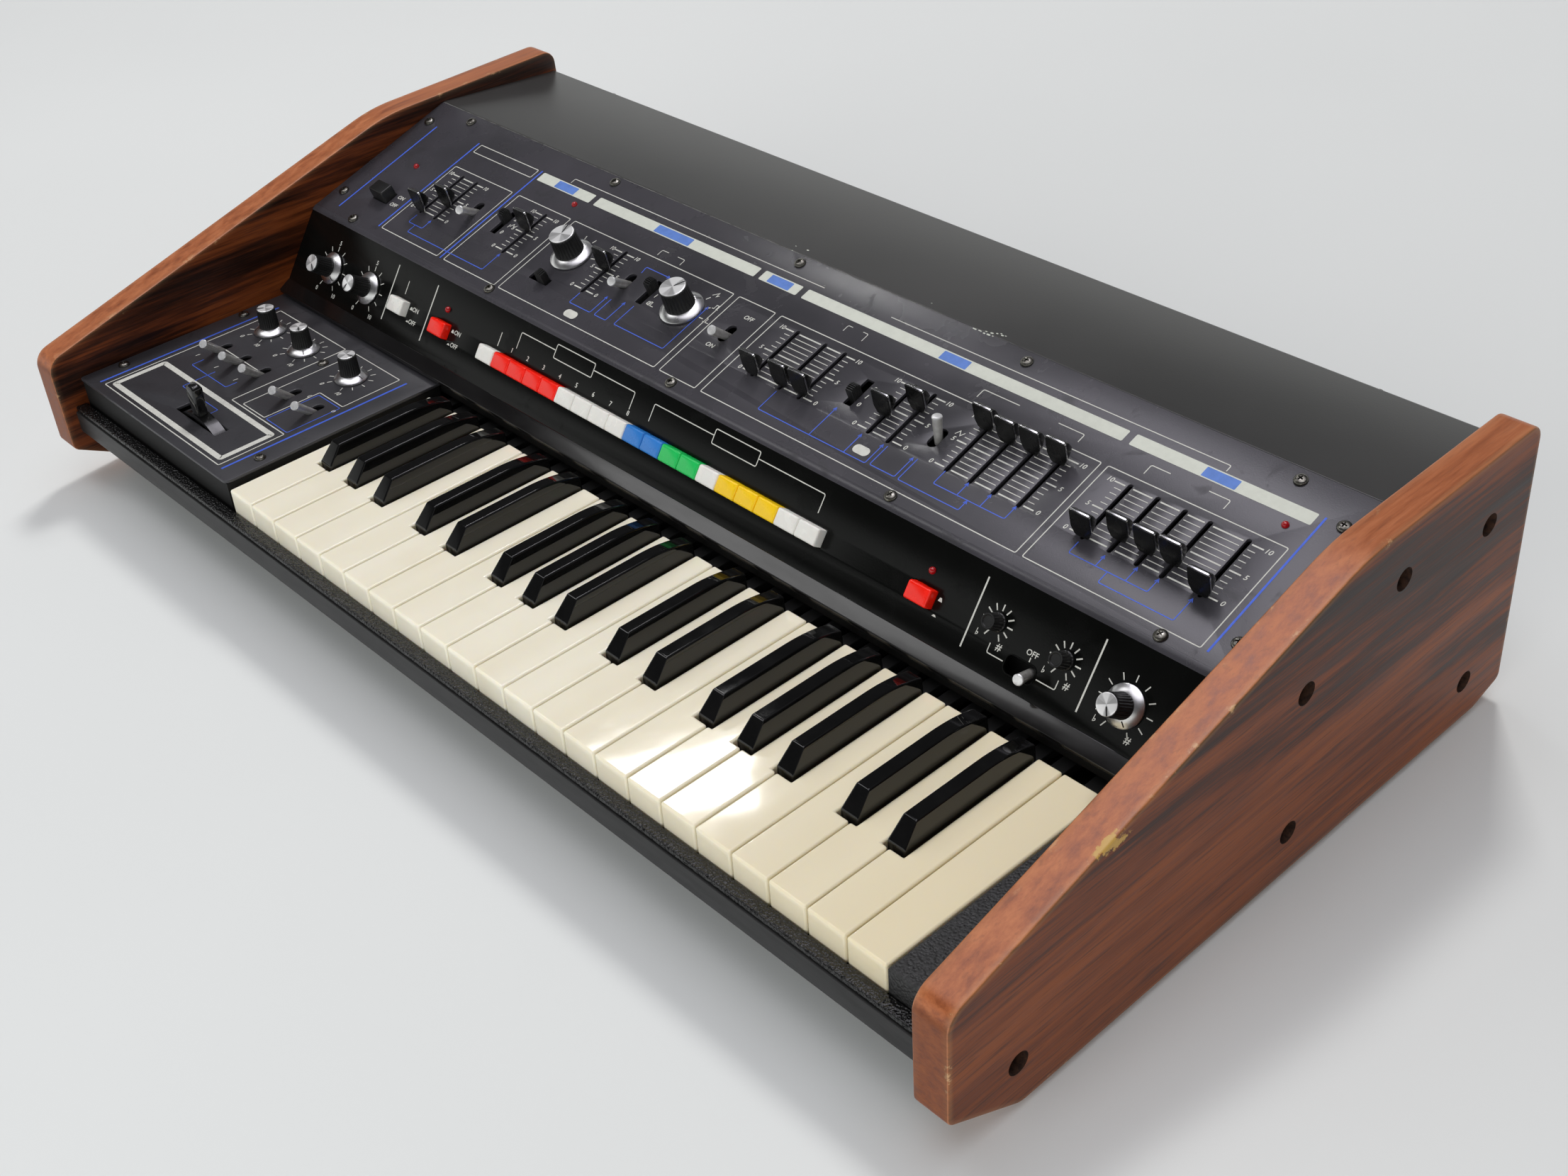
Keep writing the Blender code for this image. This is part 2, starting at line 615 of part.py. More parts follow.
def black_key(number, joint, offset):
    """Sharp: a tapered bar with a sloping front and a top that curves down at the rear."""
    base = TAIL_BOTTOM - PIVOT_Z
    deck = KEY_TOP - PIVOT_Z
    front = NOTCH_Y + SHARP_REST - PIVOT_Y
    back = KEY_LEN - PIVOT_Y
    sections = [(front, 1.2 * MM), (front + 1.5 * MM, 3.0 * MM),
                (front + SHARP_SLOPE - 1.0 * MM, SHARP_RISE - 1.3 * MM),
                (front + SHARP_SLOPE, SHARP_RISE - 0.6 * MM),
                ((front + back) / 2, SHARP_RISE)]
    for step in range(4):
        share = step / 3
        sections.append((back - SHARP_CURVE * (1 - share), SHARP_RISE - SHARP_DROP * share ** 2))
    rings = []
    for y, rise in sections:
        taper = (SHARP_WIDTH - SHARP_TOP) / 2 / SHARP_RISE
        half = SHARP_WIDTH / 2
        edge = min(0.8 * MM, rise * 0.4)
        shoulder = half - taper * (rise - edge)
        crown = shoulder - edge
        rings.append([(-half, y, base), (half, y, base), (half, y, deck),
                      (shoulder, y, deck + rise - edge), (crown, y, deck + rise),
                      (-crown, y, deck + rise), (-shoulder, y, deck + rise - edge),
                      (-half, y, deck)])
    bm = loft(rings)
    bmesh.ops.recalc_face_normals(bm, faces=bm.faces)
    lever(bm, back)
    centre = X_KEYS + joint * KEY_PITCH + offset
    return key_object(bm, f"black_key_{number:02d}", centre, BLACK, 0.12)


for key_index in range(WHITE_KEYS):
    white_key(key_index)
black_count = 0
for key_joint in range(1, WHITE_KEYS):
    key_offset = sharp_offset(key_joint)
    if key_offset is not None:
        black_count += 1
        black_key(black_count, key_joint, key_offset)


# Block right of the keys, covered like the rail, standing on the rail's foot.
BLOCK_BACK = CURTAIN_Y - GAP
block_x0 = X_KEYS_END + BLOCK_SPACE
block_x1 = X_TO
by0, bz0 = side(0.0, RAIL_BOTTOM + RAIL_FLANGE_T + GAP)
by1, bz1 = side(BLOCK_BACK, KEY_TOP)
bm_block = crowned_block((block_x0 + block_x1) / 2, (by0 + by1) / 2, block_x1 - block_x0,
                         by1 - by0, bz0, bz1, BLOCK_EDGE)
finish(bm_block, "key_block", LEATHER, 0.55)


# Knobs with a silver skirt, a fluted body and a metal cap on a shaft through the panel.
def knob_profile(skirt, body, height, bottom):
    return [(skirt, bottom), (skirt, 1.2 * MM), (body + 1.2 * MM, 3.0 * MM),
            (body + 0.3 * MM, 3.4 * MM), (body - 0.3 * MM, height - 1.0 * MM),
            (body - 0.9 * MM, height)]


def flutes(skirt, body, height):
    def depth(z):
        return 0.5 * MM if 3.2 * MM < z < height - 0.5 * MM else 0.0
    return depth


def knob_on(frame, name, x, y, sizes):
    skirt, body, height = sizes
    profile = [(KNOB_SHAFT_R, -KNOB_SHAFT), (KNOB_SHAFT_R, GAP)]
    profile += knob_profile(skirt, body, height, GAP)
    made = finish(turned(profile, KNOB_SEGMENTS, ribs=flutes(*sizes)), name, BLACK, 0.3,
                  smooth=30)
    hang(made, frame)
    made.location = (x, y, 0.0)
    return made


def fixed_knob(x, y, sizes):
    """Knob that is fused to the plate that carries it."""
    return turned(knob_profile(*sizes, -1.0 * MM), 16, x, y)


def shaft_hole(x, y, below):
    return rod((x, y, -below), (x, y, 1 * MM), KNOB_SHAFT_R + RUN, 16)


# Sliders: a blade on a flat stem that runs in a slot.
def slot_cut(x, y0, y1, wide, z0):
    return block(x - wide / 2, x + wide / 2, y0, y1, z0, 1 * MM)


def blade(x, y, foot_z):
    """Blade, neck and stem, standing on foot_z."""
    def ring(wide, deep, z):
        return [(x - wide / 2, y - deep / 2, z), (x + wide / 2, y - deep / 2, z),
                (x + wide / 2, y + deep / 2, z), (x - wide / 2, y + deep / 2, z)]
    stem = SLOT_WIDTH - 2 * RUN
    return [ring(stem, STEM_LEN, foot_z), ring(stem, STEM_LEN, 1.5 * MM),
            ring(BLADE_WIDTH * 0.75, BLADE_THICK, 3.0 * MM),
            ring(BLADE_WIDTH, BLADE_THICK, BLADE_HIGH * 0.6),
            ring(BLADE_WIDTH, BLADE_THICK * 0.75, BLADE_HIGH)]


def fixed_slider(x, y):
    return loft(blade(x, y, -SLOT_DEEP - 0.3 * MM))


def sliding(name, x, y):
    """Moving slider with a foot that holds it under the sheet."""
    stem = SLOT_WIDTH - 2 * RUN
    under = -SHEET - GAP
    rings = []
    for wide, deep, z in ((SLIDE_FOOT, SLIDE_FOOT, under - 1.5 * MM),
                          (SLIDE_FOOT, SLIDE_FOOT, under)):
        rings.append([(-wide / 2, -deep / 2, z), (wide / 2, -deep / 2, z),
                      (wide / 2, deep / 2, z), (-wide / 2, deep / 2, z)])
    rings += [[(-stem / 2, -STEM_LEN / 2, under), (stem / 2, -STEM_LEN / 2, under),
               (stem / 2, STEM_LEN / 2, under), (-stem / 2, STEM_LEN / 2, under)]]
    rings += blade(0.0, 0.0, under)[1:]
    made = finish(loft(rings), name, BLACK, 0.3)
    hang(made, CONTROL_FRAME)
    made.location = (x, y, 0.0)
    return made


# Toggle levers, slide switches and lamps.
def bat(x, y, lean_x, lean_y, height):
    """Bat lever leaning from its bushing."""
    return rod((x - lean_x * 0.1, y - lean_y * 0.1, -1.0 * MM), (x + lean_x, y + lean_y, height),
               1.7 * MM, 8, 1.5)


def lamp(x, y):
    return turned([(1.6 * MM, -1 * MM), (1.6 * MM, 0.8 * MM), (1.1 * MM, 1.9 * MM)], 8, x, y)


def nub(x, y, wide, deep):
    return crowned_block(x, y, wide, deep, -SLOT_DEEP - 0.3 * MM, SWITCH_NUB, 0.6 * MM)


def push_button(frame, name, x, y, out, colour):
    made = finish(crowned_block(0.0, 0.0, BUTTON_W, BUTTON_H, -BUTTON_IN, out, 0.7 * MM),
                  name, colour, 0.3)
    hang(made, frame)
    made.location = (x, y, 0.0)
    return made


def button_hole(x, y, below):
    half_w, half_h = BUTTON_W / 2 + RUN, BUTTON_H / 2 + RUN
    return block(x - half_w, x + half_w, y - half_h, y + half_h, -below, 1 * MM)


# Bender panel: a flat plate on folded walls, with a slot and a hanging bracket for the lever.
def bender_panel():
    x0, x1 = X_FROM, X_FROM + BENDER_WIDTH
    y1 = CURTAIN_Y - GAP
    floor = RAIL_BOTTOM + RAIL_FLANGE_T + GAP - BENDER_TOP
    outline = rounded([(x0, 0.0), (x1, 0.0), (x1, y1), (x0, y1)],
                      [0.0, BENDER_CORNER, 0.0, 0.0])
    plate = finish(upright(outline, floor, 0.0), "bender_panel", PANEL_GREY, 0.45, smooth=32)
    inside = block(x0 - 5 * MM, x1 - BENDER_WALL, BENDER_WALL, y1 + 5 * MM,
                   floor - 5 * MM, -SHEET)
    combine(plate, [inside], "DIFFERENCE")
    lever_x, lever_y = X_LEFT + LEVER_X, LEVER_Y
    swing = LEVER_DEEP * tan(LEVER_SWING) + LEVER_WIDE / 2 / cos(LEVER_SWING) + RUN
    half_t = LEVER_THICK / 2
    slot = block(lever_x - swing, lever_x + swing, lever_y - half_t - RUN, lever_y + half_t + RUN,
                 -SHEET - 1 * MM, 1 * MM)
    toggles = [(from_left(place), 76.5 * MM) for place in (36.5, 58.7, 83.0, 123.5, 146.2)]
    sockets = [slot_cut(x, y - 1.5 * MM, y + 5.5 * MM, 5 * MM, -SLOT_DEEP) for x, y in toggles]
    combine(plate, [slot, *sockets], "DIFFERENCE")
    fixed = [fixed_knob(from_left(x), y * MM, SMALL_KNOB)
             for x, y in ((39.6, 112.4), (78.2, 113.0), (131.6, 113.7))]
    fixed += [bat(x, y, 5 * MM, -12 * MM, 14 * MM) for x, y in toggles]
    for sign in (-1, 1):
        inner = lever_y + sign * (half_t + RUN)
        outer = inner + sign * EAR_THICK
        fixed.append(upright([(lever_x - HUB_R, min(inner, outer)),
                              (lever_x + HUB_R, min(inner, outer)),
                              (lever_x + HUB_R, max(inner, outer)),
                              (lever_x - HUB_R, max(inner, outer))],
                             -LEVER_DEEP - HUB_R, -SHEET / 2))
    combine(plate, fixed, "UNION")
    reach = half_t + RUN + EAR_THICK / 2
    pin = rod((lever_x, lever_y - reach, -LEVER_DEEP), (lever_x, lever_y + reach, -LEVER_DEEP),
              PIN_R, 12)
    combine(plate, [pin], "UNION", 32)
    hang(plate, BENDER_FRAME)
    arm_profile = []
    for step in range(13):
        angle = radians(140) + radians(260) * step / 12
        arm_profile.append((HUB_R * cos(angle), HUB_R * sin(angle)))
    half_w = LEVER_WIDE / 2
    top = LEVER_DEEP + LEVER_UP
    arm_profile += [(half_w, HUB_R + 2 * MM), (half_w, top - 6 * MM), (half_w - 1.5 * MM, top),
                    (-half_w + 1.5 * MM, top), (-half_w, top - 6 * MM), (-half_w, HUB_R + 2 * MM)]
    arm = loft([[(x, y, z) for x, z in arm_profile] for y in (-half_t, half_t)])
    made = finish(arm, "bender_lever", BLACK, 0.25, smooth=32)
    bore = rod((0, -half_t - 1 * MM, 0), (0, half_t + 1 * MM, 0), PIN_R + RUN, 12)
    combine(made, [bore], "DIFFERENCE", 32)
    hang(made, BENDER_FRAME)
    made.location = (lever_x, lever_y, -LEVER_DEEP)


bender_panel()


# Switch panel: steep sheet with the selector row, a moulded lip and a curtain above the levers.
def local_profile(frame_y, frame_z, tilt, points):
    """Points given from the key fronts, turned into a panel's own frame."""
    turned_points = []
    for y, z in points:
        dy, dz = y - frame_y, z - frame_z
        turned_points.append((dy * cos(tilt) + dz * sin(tilt), -dy * sin(tilt) + dz * cos(tilt)))
    return turned_points


def mitre(turn):
    """How far the inner corner of a sheet moves where two sheets meet at an angle."""
    return SHEET * tan(turn / 2)


def switch_panel():
    inner_drop = Vector((sin(SWITCH_TILT), -cos(SWITCH_TILT))) * SHEET
    curtain_low = TAIL_TOP + CURTAIN_AIR
    outer = [(LIP_Y, LIP_Z), (NOSE_Y + 1.0 * MM, NOSE_Z + 0.6 * MM), (NOSE_Y, NOSE_Z - 0.4 * MM),
             (NOSE_Y + 0.4 * MM, NOSE_Z - LIP_FACE),
             (CURTAIN_Y, NOSE_Z - LIP_FACE), (CURTAIN_Y, curtain_low),
             (CURTAIN_Y + SHEET, curtain_low),
             (CURTAIN_Y + SHEET, LIP_Z + (CURTAIN_Y + SHEET - LIP_Y - inner_drop.x)
              * tan(SWITCH_TILT) + inner_drop.y)]
    profile = local_profile(FOLD_Y, FOLD_Z, SWITCH_TILT, outer)
    shift = mitre(SWITCH_TILT - CONTROL_TILT)
    profile += [(-GAP / 2 - shift, -SHEET), (-GAP / 2, 0.0)]
    sheet = finish(along_x(profile, X_FROM, X_TO), "switch_panel", BLACK, 0.3)
    knobs = {"volume_knob": from_left(41.3), "brilliance_knob": from_left(83.6),
             "master_tuning_knob": from_right(41.4)}
    buttons = {"hold_button": (from_left(119.4), WHITE), "memory_write_button":
               (from_left(163.4), RED), "protection_button": (from_right(163.7), RED)}
    holes = [shaft_hole(x, -BUTTON_ROW, 4 * MM) for x in knobs.values()]
    holes += [button_hole(x, -BUTTON_ROW, 4 * MM) for x, colour in buttons.values()]
    race_x = from_right(98.2)
    holes.append(block(race_x - 8 * MM, race_x + 8 * MM, -44 * MM, -35 * MM, -SLOT_DEEP, 1 * MM))
    combine(sheet, holes, "DIFFERENCE")
    fixed = []
    for index in range(SELECT_COUNT):
        x = SELECT_OFF + (index - (SELECT_COUNT - 1) / 2) * (BUTTON_W + SELECT_SPACE)
        fixed.append(crowned_block(x, -BUTTON_ROW, BUTTON_W, BUTTON_H, -1 * MM, BUTTON_OUT,
                                   0.7 * MM))
    for x in (from_right(118.8), from_right(78.1)):
        fixed.append(turned([(5.5 * MM, -1 * MM), (5.5 * MM, 1.5 * MM), (2.2 * MM, 1.5 * MM),
                             (2.0 * MM, 9.0 * MM)], 12, x, -25.2 * MM))
    fixed.append(rod((race_x, -39.5 * MM, -1.6 * MM), (race_x + 2 * MM, -41 * MM, 8 * MM),
                     1.8 * MM, 8, 1.4))
    fixed += [lamp(x, -18.1 * MM) for x in (from_left(163.3), from_right(163.7))]
    combine(sheet, fixed, "UNION")
    hang(sheet, SWITCH_FRAME)
    for name, x in knobs.items():
        knob_on(SWITCH_FRAME, name, x, -BUTTON_ROW, SMALL_KNOB)
    for name, (x, colour) in buttons.items():
        push_button(SWITCH_FRAME, name, x, -BUTTON_ROW, BUTTON_OUT, colour)


switch_panel()


# Control panel: sheet with slotted sliders, rotary selectors, toggles and lamps.
def control_panel():
    low = mitre(SWITCH_TILT - CONTROL_TILT)
    high = mitre(CONTROL_TILT + atan2(COVER_FALL, COVER_DEPTH))
    profile = [(GAP / 2, 0.0), (GAP / 2 + low, -SHEET),
               (CONTROL_LEN - GAP / 2 - high, -SHEET), (CONTROL_LEN - GAP / 2, 0.0)]
    sheet = finish(along_x(profile, X_FROM, X_TO), "control_panel", PANEL_GREY, 0.4)
    fixed_sliders = [(from_left(x), SLOT_FROM + up * MM) for x, up in
                     ((82.4, 3.0), (97.1, 14.3), (169.2, 22.8), (246.8, 21.7))]
    fixed_sliders += [(from_right(x), SLOT_FROM + up * MM) for x, up in
                      ((333.4, 3.0), (246.4, 15.5), (232.6, 26.6), (192.7, 33.3),
                       (177.0, 31.7), (162.0, 32.4), (146.1, 33.4), (107.0, 3.0),
                       (91.1, 10.1), (75.5, 10.0), (61.4, 10.6))]
    moving = {"cutoff_slider": (from_right(312.2), SLOT_FROM + 4.5 * MM),
              "resonance_slider": (from_right(297.4), SLOT_FROM + 5.0 * MM),
              "level_slider": (from_right(40.2), SLOT_FROM + 3.0 * MM)}
    knobs = {"range_knob": (from_left(215.8), 50.5 * MM),
             "waveform_knob": (from_left(316.9), 50.0 * MM)}
    power = (from_left(43.4), 30.6 * MM)
    upright_switches = [(from_left(147.4), 0.72), (from_left(287.4), 0.72),
                        (from_right(270.4), 0.3)]
    toggles = [(from_left(123.2), 53.4 * MM, -1.6 * MM, -14.6 * MM),
               (from_left(266.7), 49.0 * MM, 2.0 * MM, -10.5 * MM),
               (from_left(354.3), 49.0 * MM, 3.0 * MM, -10.5 * MM),
               (from_right(211.6), 49.4 * MM, 0.0, 1.2 * MM)]
    cuts = [slot_cut(x, SLOT_FROM, SLOT_FROM + SLOT_LEN, SLOT_WIDTH, -SLOT_DEEP)
            for x, y in fixed_sliders]
    cuts += [slot_cut(x, SLOT_FROM, SLOT_FROM + SLOT_LEN, SLOT_WIDTH, -SHEET - 1 * MM)
             for x, y in moving.values()]
    cuts += [shaft_hole(x, y, SHEET + 1 * MM) for x, y in knobs.values()]
    cuts.append(button_hole(*power, SHEET + 1 * MM))
    switch_low = 41.0 * MM
    cuts += [slot_cut(x, switch_low, switch_low + SWITCH_SLOT, 5.2 * MM, -SLOT_DEEP)
             for x, share in upright_switches]
    sub_x, sub_y = from_left(212.6), 26.9 * MM
    cuts.append(slot_cut(sub_x, sub_y - 2.6 * MM, sub_y + 2.6 * MM, SWITCH_SLOT, -SLOT_DEEP))
    combine(sheet, cuts, "DIFFERENCE")
    fixed = [fixed_slider(x, y) for x, y in fixed_sliders]
    fixed += [nub(x, switch_low + SWITCH_SLOT * share, 4.2 * MM, 7.5 * MM)
              for x, share in upright_switches]
    fixed.append(nub(sub_x + 3.5 * MM, sub_y, 7.5 * MM, 4.2 * MM))
    fixed += [bat(x, y, lean_x, lean_y, 12 * MM) for x, y, lean_x, lean_y in toggles]
    fixed += [lamp(from_left(40.4), 60.6 * MM), lamp(from_left(180.2), 84 * MM),
              lamp(from_right(31.9), 84 * MM)]
    combine(sheet, fixed, "UNION")
    hang(sheet, CONTROL_FRAME)
    for name, (x, y) in knobs.items():
        knob_on(CONTROL_FRAME, name, x, y, BIG_KNOB)
    for name, (x, y) in moving.items():
        sliding(name, x, y)
    push_button(CONTROL_FRAME, "power_button", *power, POWER_OUT, BLACK)


control_panel()


# Top cover: one sheet from the crease over the rear edge and down the back.
def top_cover():
    fall = atan2(COVER_FALL, COVER_DEPTH)
    shift = mitre(CONTROL_TILT + fall)
    start = (CREASE_Y + GAP / 2 * cos(fall), CREASE_Z - GAP / 2 * sin(fall))
    low = PAN_LOW
    corner_out = (REAR_Y, REAR_Z)
    corner_in = (REAR_Y - SHEET, REAR_Z - SHEET)
    outer = rounded([start, corner_out, (back_y(low), low)], [0.0, COVER_ROUND, 0.0])
    inner = [(back_y(low) - SHEET, low), corner_in,
             (start[0] + shift * cos(fall) - SHEET * sin(fall),
              start[1] - shift * sin(fall) - SHEET * cos(fall))]
    profile = [side(y, z) for y, z in outer + inner]
    sheet = finish(along_x(profile, X_FROM, X_TO), "top_cover", (0.035, 0.035, 0.036), 0.45)
    lean = Vector((0.0, 1.0, BACK_LEAN)).normalized()
    fixed, cuts = [], []
    for index in range(JACKS):
        x = X_RIGHT - JACK_FROM - index * JACK_PITCH
        y, z = side(back_y(JACK_LOW), JACK_LOW)
        centre = Vector((x, y, z))
        fixed.append(rod(centre - lean * SHEET / 2, centre + lean * JACK_OUT, JACK_R, 12))
        cuts.append(rod(centre - lean * SHEET * 0.4, centre + lean * 2 * JACK_OUT,
                        JACK_BORE_R, 12))
    combine(sheet, fixed, "UNION")
    y, z = side(back_y(JACK_LOW), JACK_LOW)
    inlet_x = X_LEFT + INLET_FROM
    inlet = block(inlet_x - INLET_W / 2, inlet_x + INLET_W / 2, y - INLET_DEEP, y + 10 * MM,
                  z - INLET_H / 2, z + INLET_H / 2)
    cuts.append(inlet)
    combine(sheet, cuts, "DIFFERENCE", 32)


top_cover()
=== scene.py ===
import json
from math import atan2, cos, pi, radians, sin, sqrt, tan

import bmesh
import bpy
from mathutils import Matrix, Vector

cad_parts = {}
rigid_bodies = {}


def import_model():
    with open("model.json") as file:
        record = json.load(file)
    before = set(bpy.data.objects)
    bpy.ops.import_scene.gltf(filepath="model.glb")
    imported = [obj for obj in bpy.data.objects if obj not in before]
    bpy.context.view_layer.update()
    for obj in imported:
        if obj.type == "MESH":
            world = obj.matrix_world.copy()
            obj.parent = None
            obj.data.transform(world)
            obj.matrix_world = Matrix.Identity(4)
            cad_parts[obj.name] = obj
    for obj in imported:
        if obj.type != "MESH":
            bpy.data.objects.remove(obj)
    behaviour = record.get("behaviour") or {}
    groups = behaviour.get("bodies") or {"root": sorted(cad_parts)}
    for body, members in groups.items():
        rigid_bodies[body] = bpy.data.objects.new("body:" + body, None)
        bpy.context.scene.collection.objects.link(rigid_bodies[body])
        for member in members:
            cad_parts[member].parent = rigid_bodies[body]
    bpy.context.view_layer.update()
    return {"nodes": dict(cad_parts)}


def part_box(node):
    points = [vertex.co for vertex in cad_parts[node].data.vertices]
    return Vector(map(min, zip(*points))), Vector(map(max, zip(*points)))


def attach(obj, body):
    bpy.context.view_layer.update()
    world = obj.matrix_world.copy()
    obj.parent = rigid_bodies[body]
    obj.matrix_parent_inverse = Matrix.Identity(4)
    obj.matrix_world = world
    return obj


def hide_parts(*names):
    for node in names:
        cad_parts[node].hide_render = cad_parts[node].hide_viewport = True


for leftover in list(bpy.data.objects):
    bpy.data.objects.remove(leftover, do_unlink=True)

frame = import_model()

scene = bpy.context.scene
scene.view_settings.view_transform = "Standard"


# Camera, lamps and floor.  The camera stands right of the keyboard, above eye level
# of a player, where the photograph was taken.
def link(obj):
    scene.collection.objects.link(obj)
    return obj


lens = bpy.data.cameras.new("camera")
lens.sensor_width = 36.0
lens.lens = 44.155
lens.clip_start = 0.01
camera = link(bpy.data.objects.new("camera", lens))
camera.location = (0.7140, -0.5587, 0.6471)
camera.rotation_euler = (radians(53.755), radians(3.185), radians(46.750))
scene.camera = camera


def lamp(name, place, aim, wide, high, watts, colour=(1.0, 1.0, 1.0)):
    data = bpy.data.lights.new(name, "AREA")
    data.shape = "RECTANGLE"
    data.size, data.size_y = wide, high
    data.energy = watts
    data.color = colour
    made = link(bpy.data.objects.new(name, data))
    made.location = place
    made.rotation_euler = (Vector(aim) - Vector(place)).to_track_quat("-Z", "Y").to_euler()
    return made


ceiling = lamp("ceiling_lamp", (-2.0, 3.2, 5.9), (0.0, 0.0, 0.0), 1.1, 1.1, 170.0, (1.0, 0.985, 0.97))
ceiling.visible_glossy = False
glow = lamp("overhead_lamp", (-0.27, 0.36, 1.85), (0.33, 0.01, 0.13), 0.55, 0.8, 4.6, (0.93, 0.90, 1.0))
glow.visible_diffuse = False
lamp("window_lamp", (-0.96, 0.655, 1.33), (0.19, -0.17, 0.067), 0.23, 0.09, 1.3)
lamp("side_window_lamp", (-1.0, -0.51, 1.53), (0.13, -0.04, 0.08), 0.42, 0.75, 2.4)
front_fill = lamp("fill_lamp", (0.9, -2.4, 1.2), (0.1, -0.1, 0.05), 2.8, 1.6, 36.0, (0.99, 1.0, 1.0))
front_fill.visible_glossy = False


def add(tree, kind, inputs=(), **settings):
    """A node with its settings; each input is a value or a socket to join."""
    made = tree.nodes.new(kind)
    for name, value in settings.items():
        setattr(made, name, value)
    for key, value in dict(inputs).items():
        if isinstance(value, bpy.types.NodeSocket):
            tree.links.new(value, made.inputs[key])
        else:
            made.inputs[key].default_value = value
    return made


def tint(shade):
    """An opaque colour from three numbers, or a grey from one; a socket stays as it is."""
    if isinstance(shade, bpy.types.NodeSocket):
        return shade
    return (*shade, 1.0) if isinstance(shade, tuple) else (shade, shade, shade, 1.0)


def ramp(tree, factor, stops):
    made = add(tree, "ShaderNodeValToRGB", {"Fac": factor})
    points = made.color_ramp.elements
    while len(points) < len(stops):
        points.new(0.5)
    for point, (place, shade) in zip(points, stops):
        point.position = place
        point.color = tint(shade)
    return made.outputs["Color"]


def mix(tree, factor, first, second, blend="MIX"):
    return add(tree, "ShaderNodeMix", {0: factor, 6: tint(first), 7: tint(second)},
               data_type="RGBA", blend_type=blend).outputs[2]


def stretched(tree, scale=(1.0, 1.0, 1.0)):
    """Object coordinates, scaled along each axis."""
    where = add(tree, "ShaderNodeTexCoord").outputs["Object"]
    return add(tree, "ShaderNodeMapping", {"Vector": where, "Scale": scale}).outputs["Vector"]


def noise(tree, scale, detail=2.0, rough=0.5, twist=0.0, stretch=(1.0, 1.0, 1.0)):
    return add(tree, "ShaderNodeTexNoise", {"Vector": stretched(tree, stretch), "Scale": scale,
                                            "Detail": detail, "Roughness": rough,
                                            "Distortion": twist}).outputs["Fac"]


def maths(tree, operation, first, second=0.0):
    return add(tree, "ShaderNodeMath", {0: first, 1: second}, operation=operation).outputs[0]


def surface(name, roughness, metallic=0.0, colour=(0.5, 0.5, 0.5), **more):
    """A material with a principled shader; returns it with its tree and shader."""
    made = bpy.data.materials.new(name)
    made.use_nodes = True
    made.diffuse_color = tint(colour)
    shader = made.node_tree.nodes["Principled BSDF"]
    shader.inputs["Base Color"].default_value = tint(colour)
    shader.inputs["Roughness"].default_value = roughness
    shader.inputs["Metallic"].default_value = metallic
    for key, value in more.items():
        shader.inputs[key.replace("_", " ")].default_value = value
    return made, made.node_tree, shader


def vary(tree, shader, socket, pattern, *stops):
    """Drives one of a shader's inputs by a pattern through a ramp."""
    tree.links.new(ramp(tree, pattern, stops), shader.inputs[socket])


def bumped(tree, shader, height, strength, distance):
    made = add(tree, "ShaderNodeBump", {"Height": height, "Strength": strength,
                                        "Distance": distance})
    tree.links.new(made.outputs["Normal"], shader.inputs["Normal"])


def finish(name, roughness, pattern=(), tones=(), gloss=(), bump=(), metallic=0.0, **more):
    """A material whose colour and roughness follow one noise, given by its numbers; the
    bump is the numbers of another noise, its strength and its depth."""
    made, tree, shader = surface(name, roughness, metallic, **more)
    for socket, stops in (("Base Color", tones), ("Roughness", gloss)):
        if stops:
            vary(tree, shader, socket, noise(tree, *pattern), *stops)
    if bump:
        bumped(tree, shader, noise(tree, *bump[0]), *bump[1:])
    return made


# The room: a pale sweep near the horizon, dark walls above it and a bright ceiling.
world = bpy.data.worlds.new("studio")
world.use_nodes = True
tree = world.node_tree
way = add(tree, "ShaderNodeTexCoord").outputs["Generated"]
height = add(tree, "ShaderNodeSeparateXYZ", {"Vector": way}).outputs["Z"]
height = add(tree, "ShaderNodeMapRange", {"Value": height, "From Min": -1.0}).outputs[0]
room = ramp(tree, height, [(0.632, (0.87, 0.885, 0.865)), (0.668, (0.05, 0.05, 0.052)),
                           (0.925, (0.05, 0.05, 0.052)), (0.950, (1.40, 1.37, 1.50)),
                           (1.0, (1.45, 1.42, 1.44))])
tree.links.new(room, tree.nodes["Background"].inputs["Color"])
scene.world = world

FLOOR_HALF = 7.0
floor_mesh = bpy.data.meshes.new("floor")
floor_mesh.from_pydata([(x * FLOOR_HALF, y * FLOOR_HALF, 0.0)
                        for x, y in ((-1, -1), (1, -1), (1, 1), (-1, 1))], [], [(0, 1, 2, 3)])
floor_mesh.materials.append(finish("floor_cloth", 0.9, (1.3, 3.0),
                                   [(0.3, (0.725, 0.745, 0.735)), (0.7, (0.755, 0.775, 0.765))]))
link(bpy.data.objects.new("floor", floor_mesh))


# Cheeks.  Boards veneered with a red-brown rosewood pattern and edged with a lighter strip;
# their edges are rounded and rubbed pale, and six round holes are sunk outside, without their screws.
# Shapes are drawn in millimetres, and a place brings them to the frame's metres.
MM = 0.001
WORLD = Matrix.Scale(MM, 4)
LOCAL = Matrix()


def box_of(node):
    """The low and high corner of a CAD node, in millimetres."""
    return [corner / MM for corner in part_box(node)]


